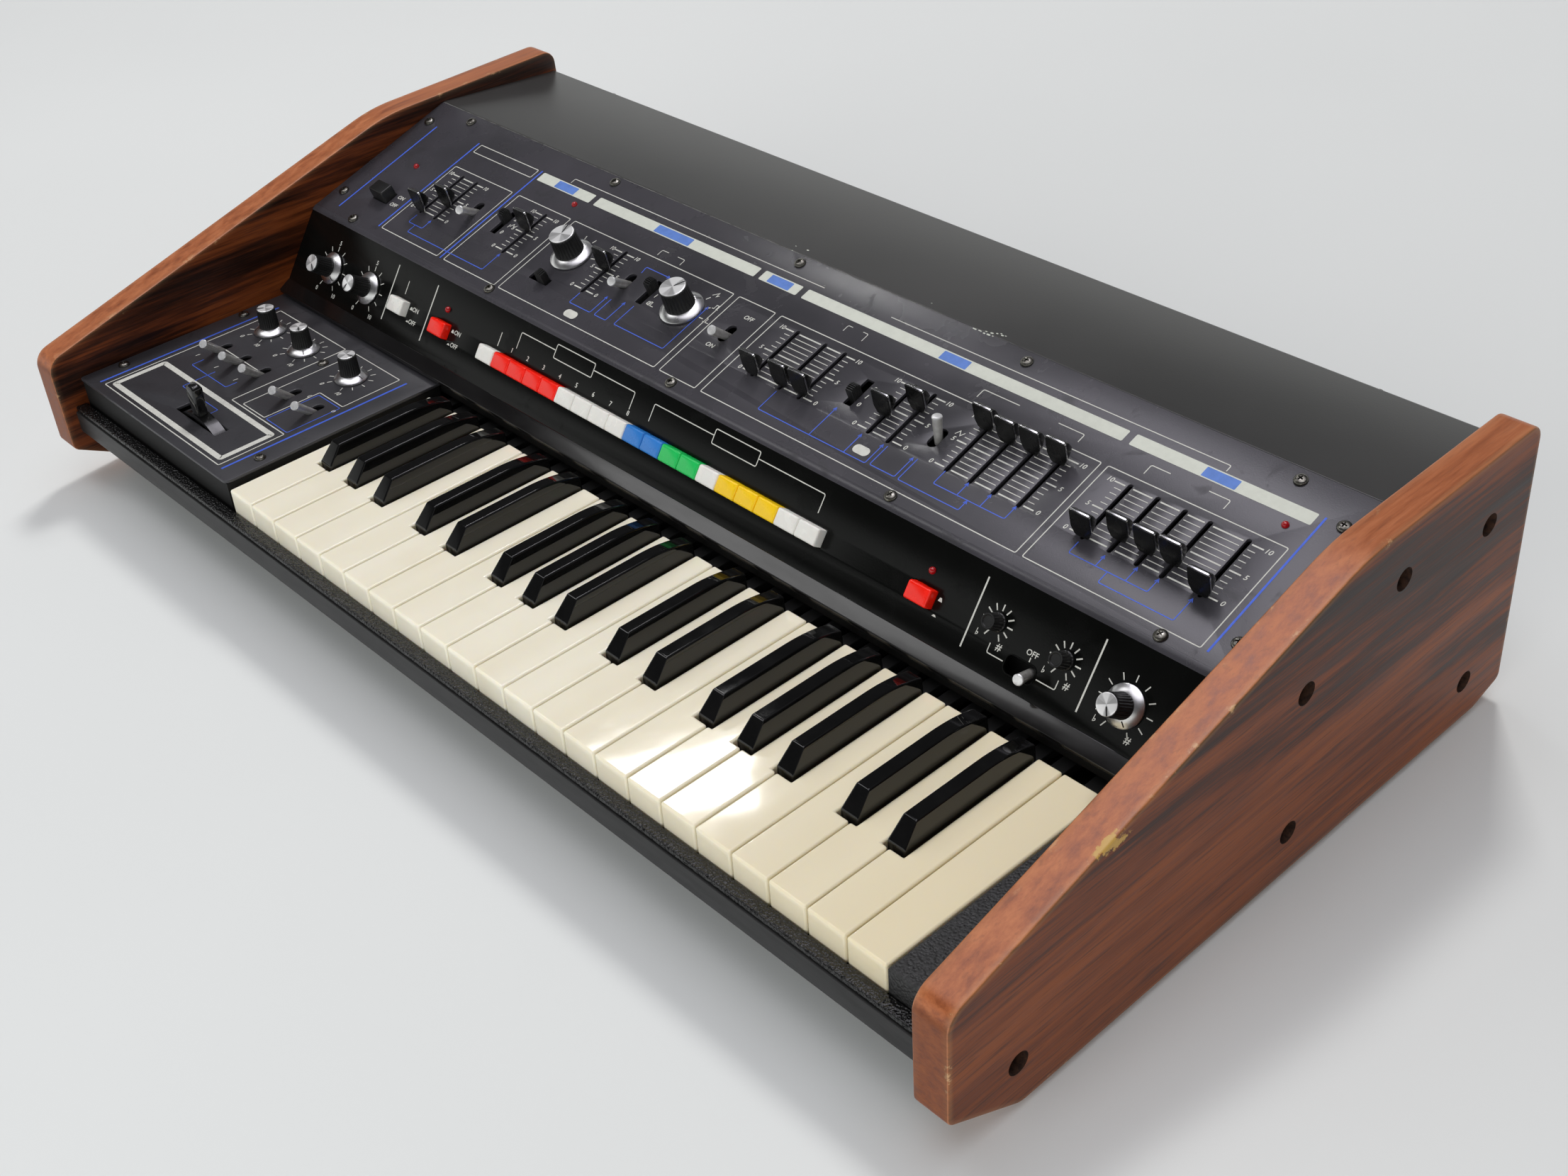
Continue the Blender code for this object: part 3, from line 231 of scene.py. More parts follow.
def rounded(points, radii, steps=6):
    """Polygon whose corners are replaced by arcs."""
    result = []
    for index, (corner, radius) in enumerate(zip(points, radii)):
        here = Vector(corner)
        if radius <= 0.0:
            result.append(tuple(here))
            continue
        before = Vector(points[index - 1]) - here
        after = Vector(points[(index + 1) % len(points)]) - here
        half = before.angle(after) / 2
        reach = min(radius / tan(half), before.length * 0.49, after.length * 0.49)
        before.normalize()
        after.normalize()
        centre = here + (before + after).normalized() * (reach / cos(half))
        start = here + before * reach - centre
        sweep = start.angle_signed(here + after * reach - centre)
        result += [tuple(centre + Matrix.Rotation(-sweep * step / steps, 2) @ start)
                   for step in range(steps + 1)]
    return result


def inset(outline, distance):
    """Outline moved inwards; it runs anticlockwise."""
    result = []
    for index, corner in enumerate(outline):
        here = Vector(corner)
        before = (here - Vector(outline[index - 1])).normalized()
        after = (Vector(outline[(index + 1) % len(outline)]) - here).normalized()
        normal = Vector((-before.y - after.y, before.x + after.x)).normalized()
        spread = max(0.5, normal.dot(Vector((-after.y, after.x))))
        result.append(tuple(here + normal * distance / spread))
    return result


def loft(rings, caps=True):
    """Closed skin through rings of equal length."""
    bm = bmesh.new()
    rows = [[bm.verts.new(point) for point in ring] for ring in rings]
    for low, high in zip(rows, rows[1:]):
        for index in range(len(low)):
            after = (index + 1) % len(low)
            bm.faces.new((low[index], low[after], high[after], high[index]))
    if caps:
        bm.faces.new(reversed(rows[0]))
        bm.faces.new(rows[-1])
    bmesh.ops.recalc_face_normals(bm, faces=bm.faces)
    return bm


def smooth(mesh, angle):
    mesh.shade_smooth()
    mesh.set_sharp_from_angle(angle=radians(angle))


def piece(name, shape, material, angle=35.0, place=WORLD):
    """A shape at its place as an object, smooth except at sharp edges."""
    shape.transform(place)
    mesh = bpy.data.meshes.new(name)
    shape.to_mesh(mesh)
    shape.free()
    mesh.materials.append(material)
    smooth(mesh, angle)
    return link(bpy.data.objects.new(name, mesh))


def fitted(made, slot, body="case", node=None):
    """Fixes a piece to its body and hides the CAD node it may stand for; the slot is not used."""
    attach(made, body)
    if node:
        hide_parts(node)
    return made


def evaluated(obj):
    """The mesh that an object's curve or modifiers make."""
    bpy.context.view_layer.update()
    return bpy.data.meshes.new_from_object(
        obj.evaluated_get(bpy.context.evaluated_depsgraph_get()))


def settled(obj):
    """Applies an object's modifiers to its mesh."""
    mesh = evaluated(obj)
    obj.modifiers.clear()
    obj.data = mesh
    return obj


def rod(start, end, radius, segments):
    start, end = Vector(start), Vector(end)
    turn = (end - start).to_track_quat("Z", "Y")
    circle = [Vector((cos(2 * pi * step / segments), sin(2 * pi * step / segments), 0.0)) * radius
              for step in range(segments)]
    return loft([[tuple(centre + turn @ spot) for spot in circle] for centre in (start, end)])


def joined(shapes):
    whole = bmesh.new()
    for shape in shapes:
        scrap = bpy.data.meshes.new("scrap")
        shape.to_mesh(scrap)
        shape.free()
        whole.from_mesh(scrap)
        bpy.data.meshes.remove(scrap)
    return whole


def cut(obj, shapes, place=WORLD, lining=None):
    """Takes closed shapes out of an object; the new walls get the lining."""
    tool = piece("tool", joined(shapes), lining or obj.data.materials[0], place=place)
    change = obj.modifiers.new("cut", "BOOLEAN")
    change.operation = "DIFFERENCE"
    change.solver = "EXACT"
    change.material_mode = "TRANSFER"
    change.object = tool
    settled(obj)
    bpy.data.objects.remove(tool, do_unlink=True)
    return obj


veneer, tree, shader = surface("rosewood_veneer", 0.42)
streak = noise(tree, 3.0, 6.0, 0.7, 0.0, (60.0, 3.0, 95.0))
pores = noise(tree, 2.2, 2.0, 0.5, 0.0, (220.0, 14.0, 420.0))
figure = mix(tree, 0.42, noise(tree, 1.6, 8.0, 0.62, 0.9, (14.0, 1.1, 16.0)), streak)
board_tone = ramp(tree, figure, [(0.41, (0.012, 0.003, 0.001)), (0.47, (0.052, 0.012, 0.003)),
                                 (0.53, (0.150, 0.034, 0.007)), (0.62, (0.240, 0.062, 0.014))])
strip_tone = ramp(tree, streak, [(0.34, (0.23, 0.055, 0.012)), (0.5, (0.36, 0.100, 0.026)),
                                 (0.68, (0.46, 0.150, 0.048))])
facing = add(tree, "ShaderNodeSeparateXYZ",
             {"Vector": add(tree, "ShaderNodeNewGeometry").outputs["Normal"]}).outputs
sideways = maths(tree, "ABSOLUTE", facing["X"])
on_side = ramp(tree, sideways, [(0.55, 0.0), (0.75, 1.0)])
pore_part = mix(tree, 1.0, ramp(tree, pores, [(0.33, 1.0), (0.42, 0.0)]),
                mix(tree, on_side, 0.18, 0.6), "MULTIPLY")
tone = mix(tree, pore_part, mix(tree, on_side, strip_tone, board_tone), (0.045, 0.014, 0.008))
rim = add(tree, "ShaderNodeAttribute", attribute_name="rim").outputs["Fac"]
rubbed = ramp(tree, noise(tree, 110.0, 5.0, 0.72, 0.0, (1.0, 0.6, 1.0)), [(0.60, 0.16), (0.65, 0.90)])
tone = mix(tree, maths(tree, "MULTIPLY", rim, rubbed), tone, (0.55, 0.33, 0.16))
# Faces that point to the front are darkened to a deep brown: painted shade on the cheeks' front ends;
# they also get less specular.
frontal = ramp(tree, maths(tree, "MULTIPLY", facing["Y"], -1.0), [(0.85, 0.0), (0.97, 1.0)])
tone = mix(tree, maths(tree, "MULTIPLY", frontal, 0.55), tone, (0.05, 0.008, 0.002))
gleam = ramp(tree, sideways, [(0.55, 0.80), (0.75, 0.30)])
tree.links.new(mix(tree, frontal, gleam, 0.3), shader.inputs["Specular IOR Level"])
away = add(tree, "ShaderNodeVectorMath", {0: stretched(tree, (170.0, 45.0, 110.0)),
                                          1: (64.9, -5.04, 12.60)}, operation="DISTANCE")
ragged = maths(tree, "MULTIPLY", noise(tree, 190.0, 4.0, 0.7), 1.1)
lost = ramp(tree, maths(tree, "ADD", away.outputs["Value"], ragged), [(0.92, 1.0), (1.0, 0.0)])
tree.links.new(mix(tree, lost, tone, (0.50, 0.30, 0.07)), shader.inputs["Base Color"])
bumped(tree, shader, mix(tree, 0.5, pores, streak), 0.25, 0.0004)
vary(tree, shader, "Roughness", streak, (0.3, 0.36), (0.7, 0.52))
# The walls of the cheeks' holes are lined in a very dark brown: painted shade inside the holes.
bore_shade_lining = finish("bare_bore_wood", 0.8, (400.0, 3.0),
                   [(0.4, (0.018, 0.008, 0.005)), (0.6, (0.050, 0.022, 0.012))])

CHEEK_EDGE = 1.3
CHEEK_HOLE_R = 6.0
CHEEK_HOLE_DEEP = 9.0
low, high = box_of("right_cheek")
CHEEK_POINTS = [(low.y, 27.9), (-162.4, 4.0), (182.9, 4.0), (206.0, 11.0), (197.0, 167.1),
                (57.1, 164.1), (low.y, 89.2)]
CHEEK_ROUNDS = [6.0, 15.0, 12.0, 5.0, 9.0, 120.0, 12.0]
CHEEK_HOLES = [(-164.5, 30.7), (19.7, 30.7), (167.0, 30.7), (19.7, 112.0), (89.5, 135.0),
               (162.2, 127.0)]
cheek_outline = [(min(y, high.y), max(z, low.z)) for y, z in rounded(CHEEK_POINTS, CHEEK_ROUNDS, 8)]
quarter = [pi / 2 * step / 4 for step in range(5)]
rows = [(low.x, 4.0, 0.0), (low.x, CHEEK_EDGE, 0.3)]
rows += [(low.x + CHEEK_EDGE * (1 - cos(turn)), CHEEK_EDGE * (1 - sin(turn)), 0.6)
         for turn in quarter[1:]]
rows += [(low.x + 5.0, 0.0, 0.0), (high.x - 3.5, 0.0, 0.0)]
rows += [(high.x - CHEEK_EDGE * (1 - sin(turn)), CHEEK_EDGE * (1 - cos(turn)), 1.0)
         for turn in quarter]
rows.append((high.x, 3.2, 0.0))
for name, sign in (("right_cheek", 1), ("left_cheek", -1)):
    shape = loft([[(sign * x, y, z) for y, z in inset(cheek_outline, step_in)]
                  for x, step_in, worn in rows])
    layer = shape.verts.layers.float.new("rim")
    for index, vertex in enumerate(shape.verts):
        vertex[layer] = rows[index // len(cheek_outline)][2]
    board = piece(name + "_board", shape, veneer, 40.0)
    cut(board, [rod((sign * (high.x - CHEEK_HOLE_DEEP), y, z), (sign * (high.x + 5.0), y, z),
                    CHEEK_HOLE_R, 40) for y, z in CHEEK_HOLES], lining=bore_shade_lining)
    smooth(board.data, 40.0)
    fitted(board, "cheek_veneer", "case", name)


# Bottom pan and key frame.  A folded steel tray on rubber feet closes the case below; inside
# it the plated channel carries the rod that the keys rock on.
black_paint = finish("black_case_paint", 0.5, (900.0, 2.0), [(0.35, 0.011), (0.65, 0.020)],
                     bump=((900.0, 2.0), 0.2, 0.0002))
plated = finish("plated_steel", 0.38, (4.0, 4.0, 0.5, 0.0, (30.0, 4.0, 4.0)),
                [(0.3, (0.36, 0.35, 0.32)), (0.7, (0.56, 0.55, 0.51))], metallic=1.0,
                colour=(0.5, 0.49, 0.46))
for name, dress in (("bottom_pan", black_paint), ("key_frame", plated)):
    node = frame["nodes"][name]
    for index in range(len(node.data.materials)):
        node.data.materials[index] = dress


# Front rail.  A bar in front of the keys, its top wrapped in black leatherette down to a
# groove; below the groove its face is plain satin paint.
def leather(name, base, sheen_rough):
    """Embossed cloth: round pebbles with finer folds between them."""
    made, tree, shader = surface(name, sheen_rough)
    pebble = add(tree, "ShaderNodeTexVoronoi", {"Vector": stretched(tree), "Scale": 820.0},
                 feature="SMOOTH_F1").outputs["Distance"]
    folds = noise(tree, 620.0, 3.0, 0.6)
    vary(tree, shader, "Base Color", folds, (0.35, base * 0.7), (0.65, base * 1.3))
    vary(tree, shader, "Roughness", pebble, (0.1, sheen_rough * 0.75), (0.6, sheen_rough * 1.35))
    bumped(tree, shader, mix(tree, 0.35, pebble, folds), 0.9, 0.0012)
    return made


def along_x(profile, x0, x1):
    return loft([[(x, y, z) for y, z in profile] for x in (x0, x1)])


leatherette = leather("black_leatherette", 0.005, 0.19)
rail_face = finish("rail_face_paint", 0.42, (14.0, 5.0, 0.6, 0.0, (3.0, 20.0, 20.0)),
                   [(0.35, 0.014), (0.65, 0.024)], bump=((1400.0,), 0.15, 0.0002),
                   Specular_IOR_Level=0.25)

RAIL_BACK = -189.7
RAIL_LEDGE = 0.8
RAIL_GROOVE = 0.9
RAIL_GROOVE_LOW = 2.4
RAIL_FLANGE = 2.0
low, high = box_of("front_rail")
ledge, groove = low.y + RAIL_LEDGE, high.z - RAIL_GROOVE_LOW
joint, flange = groove - RAIL_GROOVE, low.z + RAIL_FLANGE
wrap_profile = rounded([(RAIL_BACK, high.z), (ledge, high.z), (ledge, groove),
                        (ledge + RAIL_GROOVE, groove), (ledge + RAIL_GROOVE, joint),
                        (RAIL_BACK, joint)], [0.6, 1.5, 0.3, 0.0, 0.0, 0.0])
bar_profile = rounded([(low.y, joint), (low.y, low.z), (high.y, low.z), (high.y, flange),
                       (RAIL_BACK, flange), (RAIL_BACK, joint)], [0.5, 1.6, 0.0, 0.0, 0.0, 0.0])
fitted(piece("rail_wrap", along_x(wrap_profile, low.x, high.x), leatherette, 40.0), "leatherette")
fitted(piece("rail_bar", along_x(bar_profile, low.x, high.x), rail_face, 40.0), "leatherette",
       "case", "front_rail")


# White keys.  Moulded ivory-coloured caps, cut out beside the sharps of their own note and
# drawn out at the rear into the lever that rocks on the rod.
def geometry_tree(name, lengths=(), takes_mesh=True, **others):
    """A geometry tree with named inputs; returns it, its inputs and its end."""
    tree = bpy.data.node_groups.new(name, "GeometryNodeTree")
    kinds = {"Geometry": "Geometry"} if takes_mesh else {}
    kinds.update(others)
    kinds.update(dict.fromkeys(lengths, "Float"))
    kinds["Material"] = "Material"
    for label, kind in kinds.items():
        tree.interface.new_socket(label, in_out="INPUT", socket_type="NodeSocket" + kind)
    tree.interface.new_socket("Geometry", in_out="OUTPUT", socket_type="NodeSocketGeometry")
    want = tree.nodes.new("NodeGroupInput").outputs
    return tree, want, tree.nodes.new("NodeGroupOutput").inputs[0]


def ended(tree, geometry, want, end):
    """Realizes the instances and sets the material, which ends a tree."""
    real = add(tree, "GeometryNodeRealizeInstances", {"Geometry": geometry}).outputs[0]
    dressed = add(tree, "GeometryNodeSetMaterial", {"Geometry": real, "Material": want["Material"]})
    tree.links.new(dressed.outputs[0], end)


def grown(tree, name, values, mesh=None):
    """Runs a geometry tree and keeps what it makes as a plain mesh."""
    holder = link(bpy.data.objects.new(name, mesh or bpy.data.meshes.new(name)))
    run = holder.modifiers.new("grow", "NODES")
    run.node_group = tree
    for item in tree.interface.items_tree:
        if item.in_out == "INPUT" and item.name in values:
            run[item.identifier] = values[item.name]
    return settled(holder)


def vector(tree, x=0.0, y=0.0, z=0.0):
    return add(tree, "ShaderNodeCombineXYZ", {"X": x, "Y": y, "Z": z}).outputs[0]


def block_in(tree, low, high):
    """A box between two corners, each three sockets or numbers."""
    size = [maths(tree, "SUBTRACT", b, a) for a, b in zip(low, high)]
    middle = [maths(tree, "MULTIPLY", maths(tree, "ADD", a, b), 0.5) for a, b in zip(low, high)]
    cube = add(tree, "GeometryNodeMeshCube", {"Size": vector(tree, *size)}).outputs["Mesh"]
    return add(tree, "GeometryNodeTransform", {"Geometry": cube,
                                               "Translation": vector(tree, *middle)}).outputs[0]


AIR, AIR_LONG = 50.0, 500.0
key_tree, want, end = geometry_tree(
    "white_key", ["Width", "Height", "Length", "Front Length", "Left Cut", "Right Cut"], False)
tree = key_tree
half = maths(tree, "MULTIPLY", want["Width"], 0.5)
minus_half = maths(tree, "MULTIPLY", half, -1.0)
rear_left = maths(tree, "ADD", minus_half, want["Left Cut"])
rear_right = maths(tree, "SUBTRACT", half, want["Right Cut"])
cap = block_in(tree, (minus_half, 0.0, 0.0), (half, want["Length"], want["Height"]))
notched = add(tree, "GeometryNodeMeshBoolean", {"Mesh 1": cap}, operation="DIFFERENCE",
              solver="EXACT")
for left, right in ((-AIR, rear_left), (rear_right, AIR)):
    air = block_in(tree, (left, want["Front Length"], -AIR), (right, AIR_LONG, AIR))
    tree.links.new(air, notched.inputs["Mesh 2"])
ended(tree, notched.outputs["Mesh"], want, end)

ivory, tree, shader = surface("ivory_key_plastic", 0.08, Coat_Weight=0.3, Coat_Roughness=0.03,
                              Subsurface_Weight=0.25, Subsurface_Scale=0.004,
                              Subsurface_Radius=(1.0, 0.8, 0.4))
cream = ramp(tree, noise(tree, 1.0, 1.0, 0.5, 0.0, (40.0, 0.8, 0.8)),
             [(0.35, (0.88, 0.825, 0.665)), (0.65, (0.92, 0.870, 0.720))])
# The keys turn darker and yellower towards the right end of the keyboard.
along = add(tree, "ShaderNodeSeparateXYZ", {"Vector": stretched(tree)}).outputs["X"]
cream = mix(tree, ramp(tree, along, [(0.08, 0.0), (0.36, 0.75)]), cream, (0.76, 0.65, 0.41))
stain = ramp(tree, noise(tree, 30.0, 4.0), [(0.5, 0.0), (0.8, 0.25)])
tree.links.new(mix(tree, stain, cream, (0.78, 0.70, 0.52)), shader.inputs["Base Color"])
vary(tree, shader, "Roughness", noise(tree, 55.0, 6.0, 0.7), (0.4, 0.055), (0.75, 0.12))
bumped(tree, shader, noise(tree, 45.0, 1.0), 0.05, 0.001)
lever_dark = finish("key_lever_black", 0.45, colour=(0.012, 0.012, 0.012))

KEY_CAP = 136.8
KEY_NOTCH = 49.5
NOTCH_AIR = 1.0
TAIL_WIDTH, TAIL_THICK = 8.0, 5.5
KEY_EDGE = 1.3
white_names = sorted(name for name in frame["nodes"] if name.startswith("white_key"))
sharp_names = sorted(name for name in frame["nodes"] if name.startswith("black_key"))
sharps = [box_of(name) for name in sharp_names]
tail_level = sharps[0][0].z


def softened(obj, width, segments=3, angle=30.0):
    """Rounds the edges sharper than an angle and keeps the wide faces flat."""
    obj.data.shade_smooth()
    rounding = obj.modifiers.new("round", "BEVEL")
    rounding.width = width * MM
    rounding.segments = segments
    rounding.limit_method = "ANGLE"
    rounding.angle_limit = radians(angle)
    obj.modifiers.new("even", "WEIGHTED_NORMAL").weight = 90
    return settled(obj)


def lever(name, x, front, back):
    """The dark bar behind a key's cap."""
    half, top = TAIL_WIDTH / 2, tail_level + TAIL_THICK
    bar = loft([[(x - half, y, tail_level), (x + half, y, tail_level), (x + half, y, top),
                 (x - half, y, top)] for y in (front, back)])
    return softened(piece(name, bar, lever_dark), 0.5, 2)


for name in white_names:
    low, high = box_of(name)
    left_cut = max([sharp[1].x + NOTCH_AIR - low.x for sharp in sharps
                    if sharp[0].x < low.x < sharp[1].x + NOTCH_AIR] + [-NOTCH_AIR])
    right_cut = max([high.x - sharp[0].x + NOTCH_AIR for sharp in sharps
                     if sharp[0].x - NOTCH_AIR < high.x < sharp[1].x] + [-NOTCH_AIR])
    key = grown(key_tree, name + "_cap",
                {"Width": high.x - low.x, "Height": high.z - low.z, "Length": KEY_CAP,
                 "Front Length": KEY_NOTCH, "Left Cut": left_cut, "Right Cut": right_cut,
                 "Material": ivory})
    key.data.transform(WORLD @ Matrix.Translation(((low.x + high.x) / 2, low.y, low.z)))
    softened(key, KEY_EDGE, 4)
    middle = (low.x + high.x + max(left_cut, 0.0) - max(right_cut, 0.0)) / 2
    tail = lever(name + "_lever", middle, low.y + KEY_CAP - 6.0, high.y)
    fitted(key, "ivory_plastic", name, name)
    fitted(tail, "ivory_plastic", name)


# Black keys.  Solid glossy sharps: tapered bars with a steep front and a top that curves down
# towards the switch panel.
ebony = finish("ebony_key_plastic", 0.08, (60.0, 5.0, 0.65),
               [(0.4, (0.0035, 0.0035, 0.0036)), (0.8, 0.006)], [(0.42, 0.04), (0.72, 0.10)],
               ((40.0, 1.0), 0.06, 0.001), colour=(0.004, 0.004, 0.004))

SHARP_TOP = 7.8
SHARP_SLOPE = 9.2
SHARP_DROP = 5.0
SHARP_CURVE = 30.0
SHARP_EDGE = 0.9
SHARP_FOOT = 1.0
first_low, first_high = box_of(white_names[0])
white_top, cap_end = first_high.z, first_low.y + KEY_CAP
for name in sharp_names:
    low, high = box_of(name)
    centre, half = (low.x + high.x) / 2, (high.x - low.x) / 2
    rise, waist = high.z - white_top, white_top - SHARP_FOOT
    sections = [(low.y, SHARP_FOOT), (low.y + SHARP_SLOPE, rise)]
    sections += [(cap_end - SHARP_CURVE * (1 - step / 8), rise - SHARP_DROP * (step / 8) ** 2)
                 for step in range(9)]
    rings = []
    for y, up in sections:
        slim, top = half - (half - SHARP_TOP / 2) * up / rise, white_top + up
        rings.append([(centre - half, y, low.z), (centre + half, y, low.z),
                      (centre + half, y, waist), (centre + slim, y, top),
                      (centre - slim, y, top), (centre - half, y, waist)])
    sharp = softened(piece(name + "_cap", loft(rings), ebony), SHARP_EDGE, 4, 22.0)
    tail = lever(name + "_lever", centre, cap_end - 5.0, high.y)
    fitted(sharp, "ebony_plastic", name, name)
    fitted(tail, "ebony_plastic", name)


# Key block.  A wooden filler beside the last key, wrapped in the same leatherette; its CAD
# solid keeps its shape, with merged triangles and round edges.
filler = link(bpy.data.objects.new("key_filler", frame["nodes"]["key_block"].data.copy()))
shape = bmesh.new()
shape.from_mesh(filler.data)
bmesh.ops.remove_doubles(shape, verts=shape.verts, dist=1e-6)
bmesh.ops.dissolve_limit(shape, angle_limit=radians(1.0), verts=shape.verts, edges=shape.edges)
shape.to_mesh(filler.data)
shape.free()
filler.data.materials.clear()
filler.data.materials.append(leather("block_leatherette", 0.024, 0.46))
fitted(softened(filler, 1.0), "leatherette", "case", "key_block")


# Bender panel.  A painted plate screwed over the left end of the key frame; a lever rocks in
# its slot, with five toggle switches and three knobs behind, and silk-screened lines.
def standing(y, z, tilt=0.0):
    """Place of a panel: x along it, y up its slope, z out of its face."""
    return WORLD @ Matrix.Translation((0.0, y, z)) @ Matrix.Rotation(tilt, 4, "X")


def oblong(x, y, wide, long, radius, steps=5):
    """Outline of a rectangle with round corners about a middle."""
    half, reach = wide / 2, long / 2
    return rounded([(x - half, y - reach), (x + half, y - reach), (x + half, y + reach),
                    (x - half, y + reach)], [radius] * 4, steps)


def prism(outline, low, high):
    """An outline raised from one height to another."""
    return loft([[(x, y, z) for x, y in outline] for z in (low, high)])


def slab(x0, y0, x1, y1, low, high):
    return prism([(x0, y0), (x1, y0), (x1, y1), (x0, y1)], low, high)


def at(shape, x, y, z=0.0):
    """A shape moved to its spot on a panel."""
    shape.transform(Matrix.Translation((x, y, z)))
    return shape


def outline_mesh(curve):
    """The mesh of a curve or a text."""
    holder = link(bpy.data.objects.new(curve.name, curve))
    mesh = evaluated(holder)
    bpy.data.objects.remove(holder, do_unlink=True)
    return mesh


def sheet(name, outline, holes, thick, edge, material, place):
    """A flat plate with holes and softened edges, its face at height 0 of its place."""
    flat = bpy.data.curves.new(name, "CURVE")
    flat.dimensions = "2D"
    flat.fill_mode = "BOTH"
    flat.extrude = thick / 2 - edge
    flat.bevel_depth = edge
    flat.bevel_resolution = 2
    flat.offset = -edge
    for loop in [outline] + [list(reversed(hole)) for hole in holes]:
        line = flat.splines.new("POLY")
        line.points.add(len(loop) - 1)
        for point, (x, y) in zip(line.points, loop):
            point.co = (x, y, 0.0, 1.0)
        line.use_cyclic_u = True
    shape = bmesh.new()
    shape.from_mesh(outline_mesh(flat))
    bmesh.ops.remove_doubles(shape, verts=shape.verts, dist=1e-3)
    bmesh.ops.recalc_face_normals(shape, faces=shape.faces)
    return piece(name, at(shape, 0.0, 0.0, -thick / 2), material, 50.0, place)


INK_HEIGHT = 0.08
LETTER_THICK = 0.04


def ribbon(path, width, closed=False, thick=INK_HEIGHT):
    """A flat strip of ink along a path on a panel's face."""
    rows = []
    for index, corner in enumerate(path):
        here = Vector(corner)
        steps = []
        if closed or index > 0:
            steps.append((here - Vector(path[index - 1])).normalized())
        if closed or index < len(path) - 1:
            steps.append((Vector(path[(index + 1) % len(path)]) - here).normalized())
        along = sum(steps, Vector((0.0, 0.0))).normalized()
        reach = width / 2 / max(0.4, along.dot(steps[0]))
        side = Vector((-along.y, along.x)) * reach
        left, right = here + side, here - side
        rows.append([(left.x, left.y, 0.0), (left.x, left.y, thick), (right.x, right.y, thick),
                     (right.x, right.y, 0.0)])
    if closed:
        rows.append(rows[0])
    shape = loft(rows, caps=not closed)
    bmesh.ops.remove_doubles(shape, verts=shape.verts, dist=1e-4)
    bmesh.ops.recalc_face_normals(shape, faces=shape.faces)
    return shape


def line(points, width, closed=False):
    """A drawn line with small round corners."""
    rounds = [0.9] * len(points)
    if not closed:
        rounds[0] = rounds[-1] = 0.0
    return ribbon(rounded(points, rounds, 3), width, closed)


def lines(width, *paths):
    return [line(points, width) for points in paths]


def box_line(x0, y0, x1, y1, width):
    return line([(x0, y0), (x1, y0), (x1, y1), (x0, y1)], width, True)


def patch(x, y, wide, long, radius, steps=3, thick=INK_HEIGHT):
    """A filled round-cornered shape of ink."""
    return prism(oblong(x, y, wide, long, radius, steps), 0.0, thick)


def printed(name, shapes, ink, place, slot="panel_paint"):
    return fitted(piece(name, joined(shapes), ink, place=place), slot)


def lettered(name, entries, size, place, slot="panel_paint", shear=0.15):
    """Printed figures and signs, each (text, x, y) about its middle."""
    whole = bmesh.new()
    for text, x, y in entries:
        letters = bpy.data.curves.new(name, "FONT")
        letters.body = text
        letters.size = size
        letters.shear = shear
        letters.align_x, letters.align_y = "CENTER", "CENTER"
        letters.extrude = LETTER_THICK
        letters.resolution_u = 3
        letters.offset = size * 0.012
        mesh = outline_mesh(letters)
        mesh.transform(Matrix.Translation((x, y, LETTER_THICK)))
        whole.from_mesh(mesh)
        bpy.data.meshes.remove(mesh)
    bmesh.ops.remove_doubles(whole, verts=whole.verts, dist=1e-4)
    return fitted(piece(name, whole, pale_ink, place=place), slot)


def turned(profile, segments=48, flutes=0, depth=0.0):
    """A shape turned about z from (radius, height) points; a third number is its fluting."""
    rings = []
    for radius, height, *share in profile:
        ring = []
        for step in range(segments):
            angle = 2 * pi * step / segments
            here = radius - depth * sum(share) * (0.5 - 0.5 * cos(flutes * angle))
            ring.append((here * cos(angle), here * sin(angle), height))
        rings.append(ring)
    return loft(rings)


def shade_of(colour, share):
    return tuple(part * share for part in colour)


def panel_paint(name, dark, light, roughness, gleam=0.5):
    """Baked enamel with faint mottling, dust and rubbed spots."""
    made, tree, shader = surface(name, roughness, Specular_IOR_Level=gleam)
    cloud = noise(tree, 9.0, 5.0, 0.62)
    smudge = ramp(tree, noise(tree, 48.0, 4.0, 0.6, 0.6), [(0.60, 0.0), (0.68, 0.55)])
    tone = ramp(tree, cloud, [(0.35, dark), (0.65, light)])
    tree.links.new(mix(tree, smudge, tone, shade_of(dark, 0.6)), shader.inputs["Base Color"])
    dull = ramp(tree, cloud, [(0.3, roughness * 0.85), (0.7, roughness * 1.15)])
    tree.links.new(mix(tree, smudge, dull, roughness * 1.9), shader.inputs["Roughness"])
    bumped(tree, shader, noise(tree, 1500.0), 0.22, 0.00015)
    return made


def ink(name, colour, worn=0.86):
    return finish(name, 0.55, (240.0, 3.0, 0.6), [(0.35, shade_of(colour, worn)), (0.6, colour)])


bender_paint = panel_paint("bender_plate_paint", (0.036, 0.036, 0.040), (0.050, 0.049, 0.055), 0.33)
pale_ink = ink("pale_ink", (0.62, 0.62, 0.57))
blue_ink = ink("blue_ink", (0.055, 0.130, 0.66))
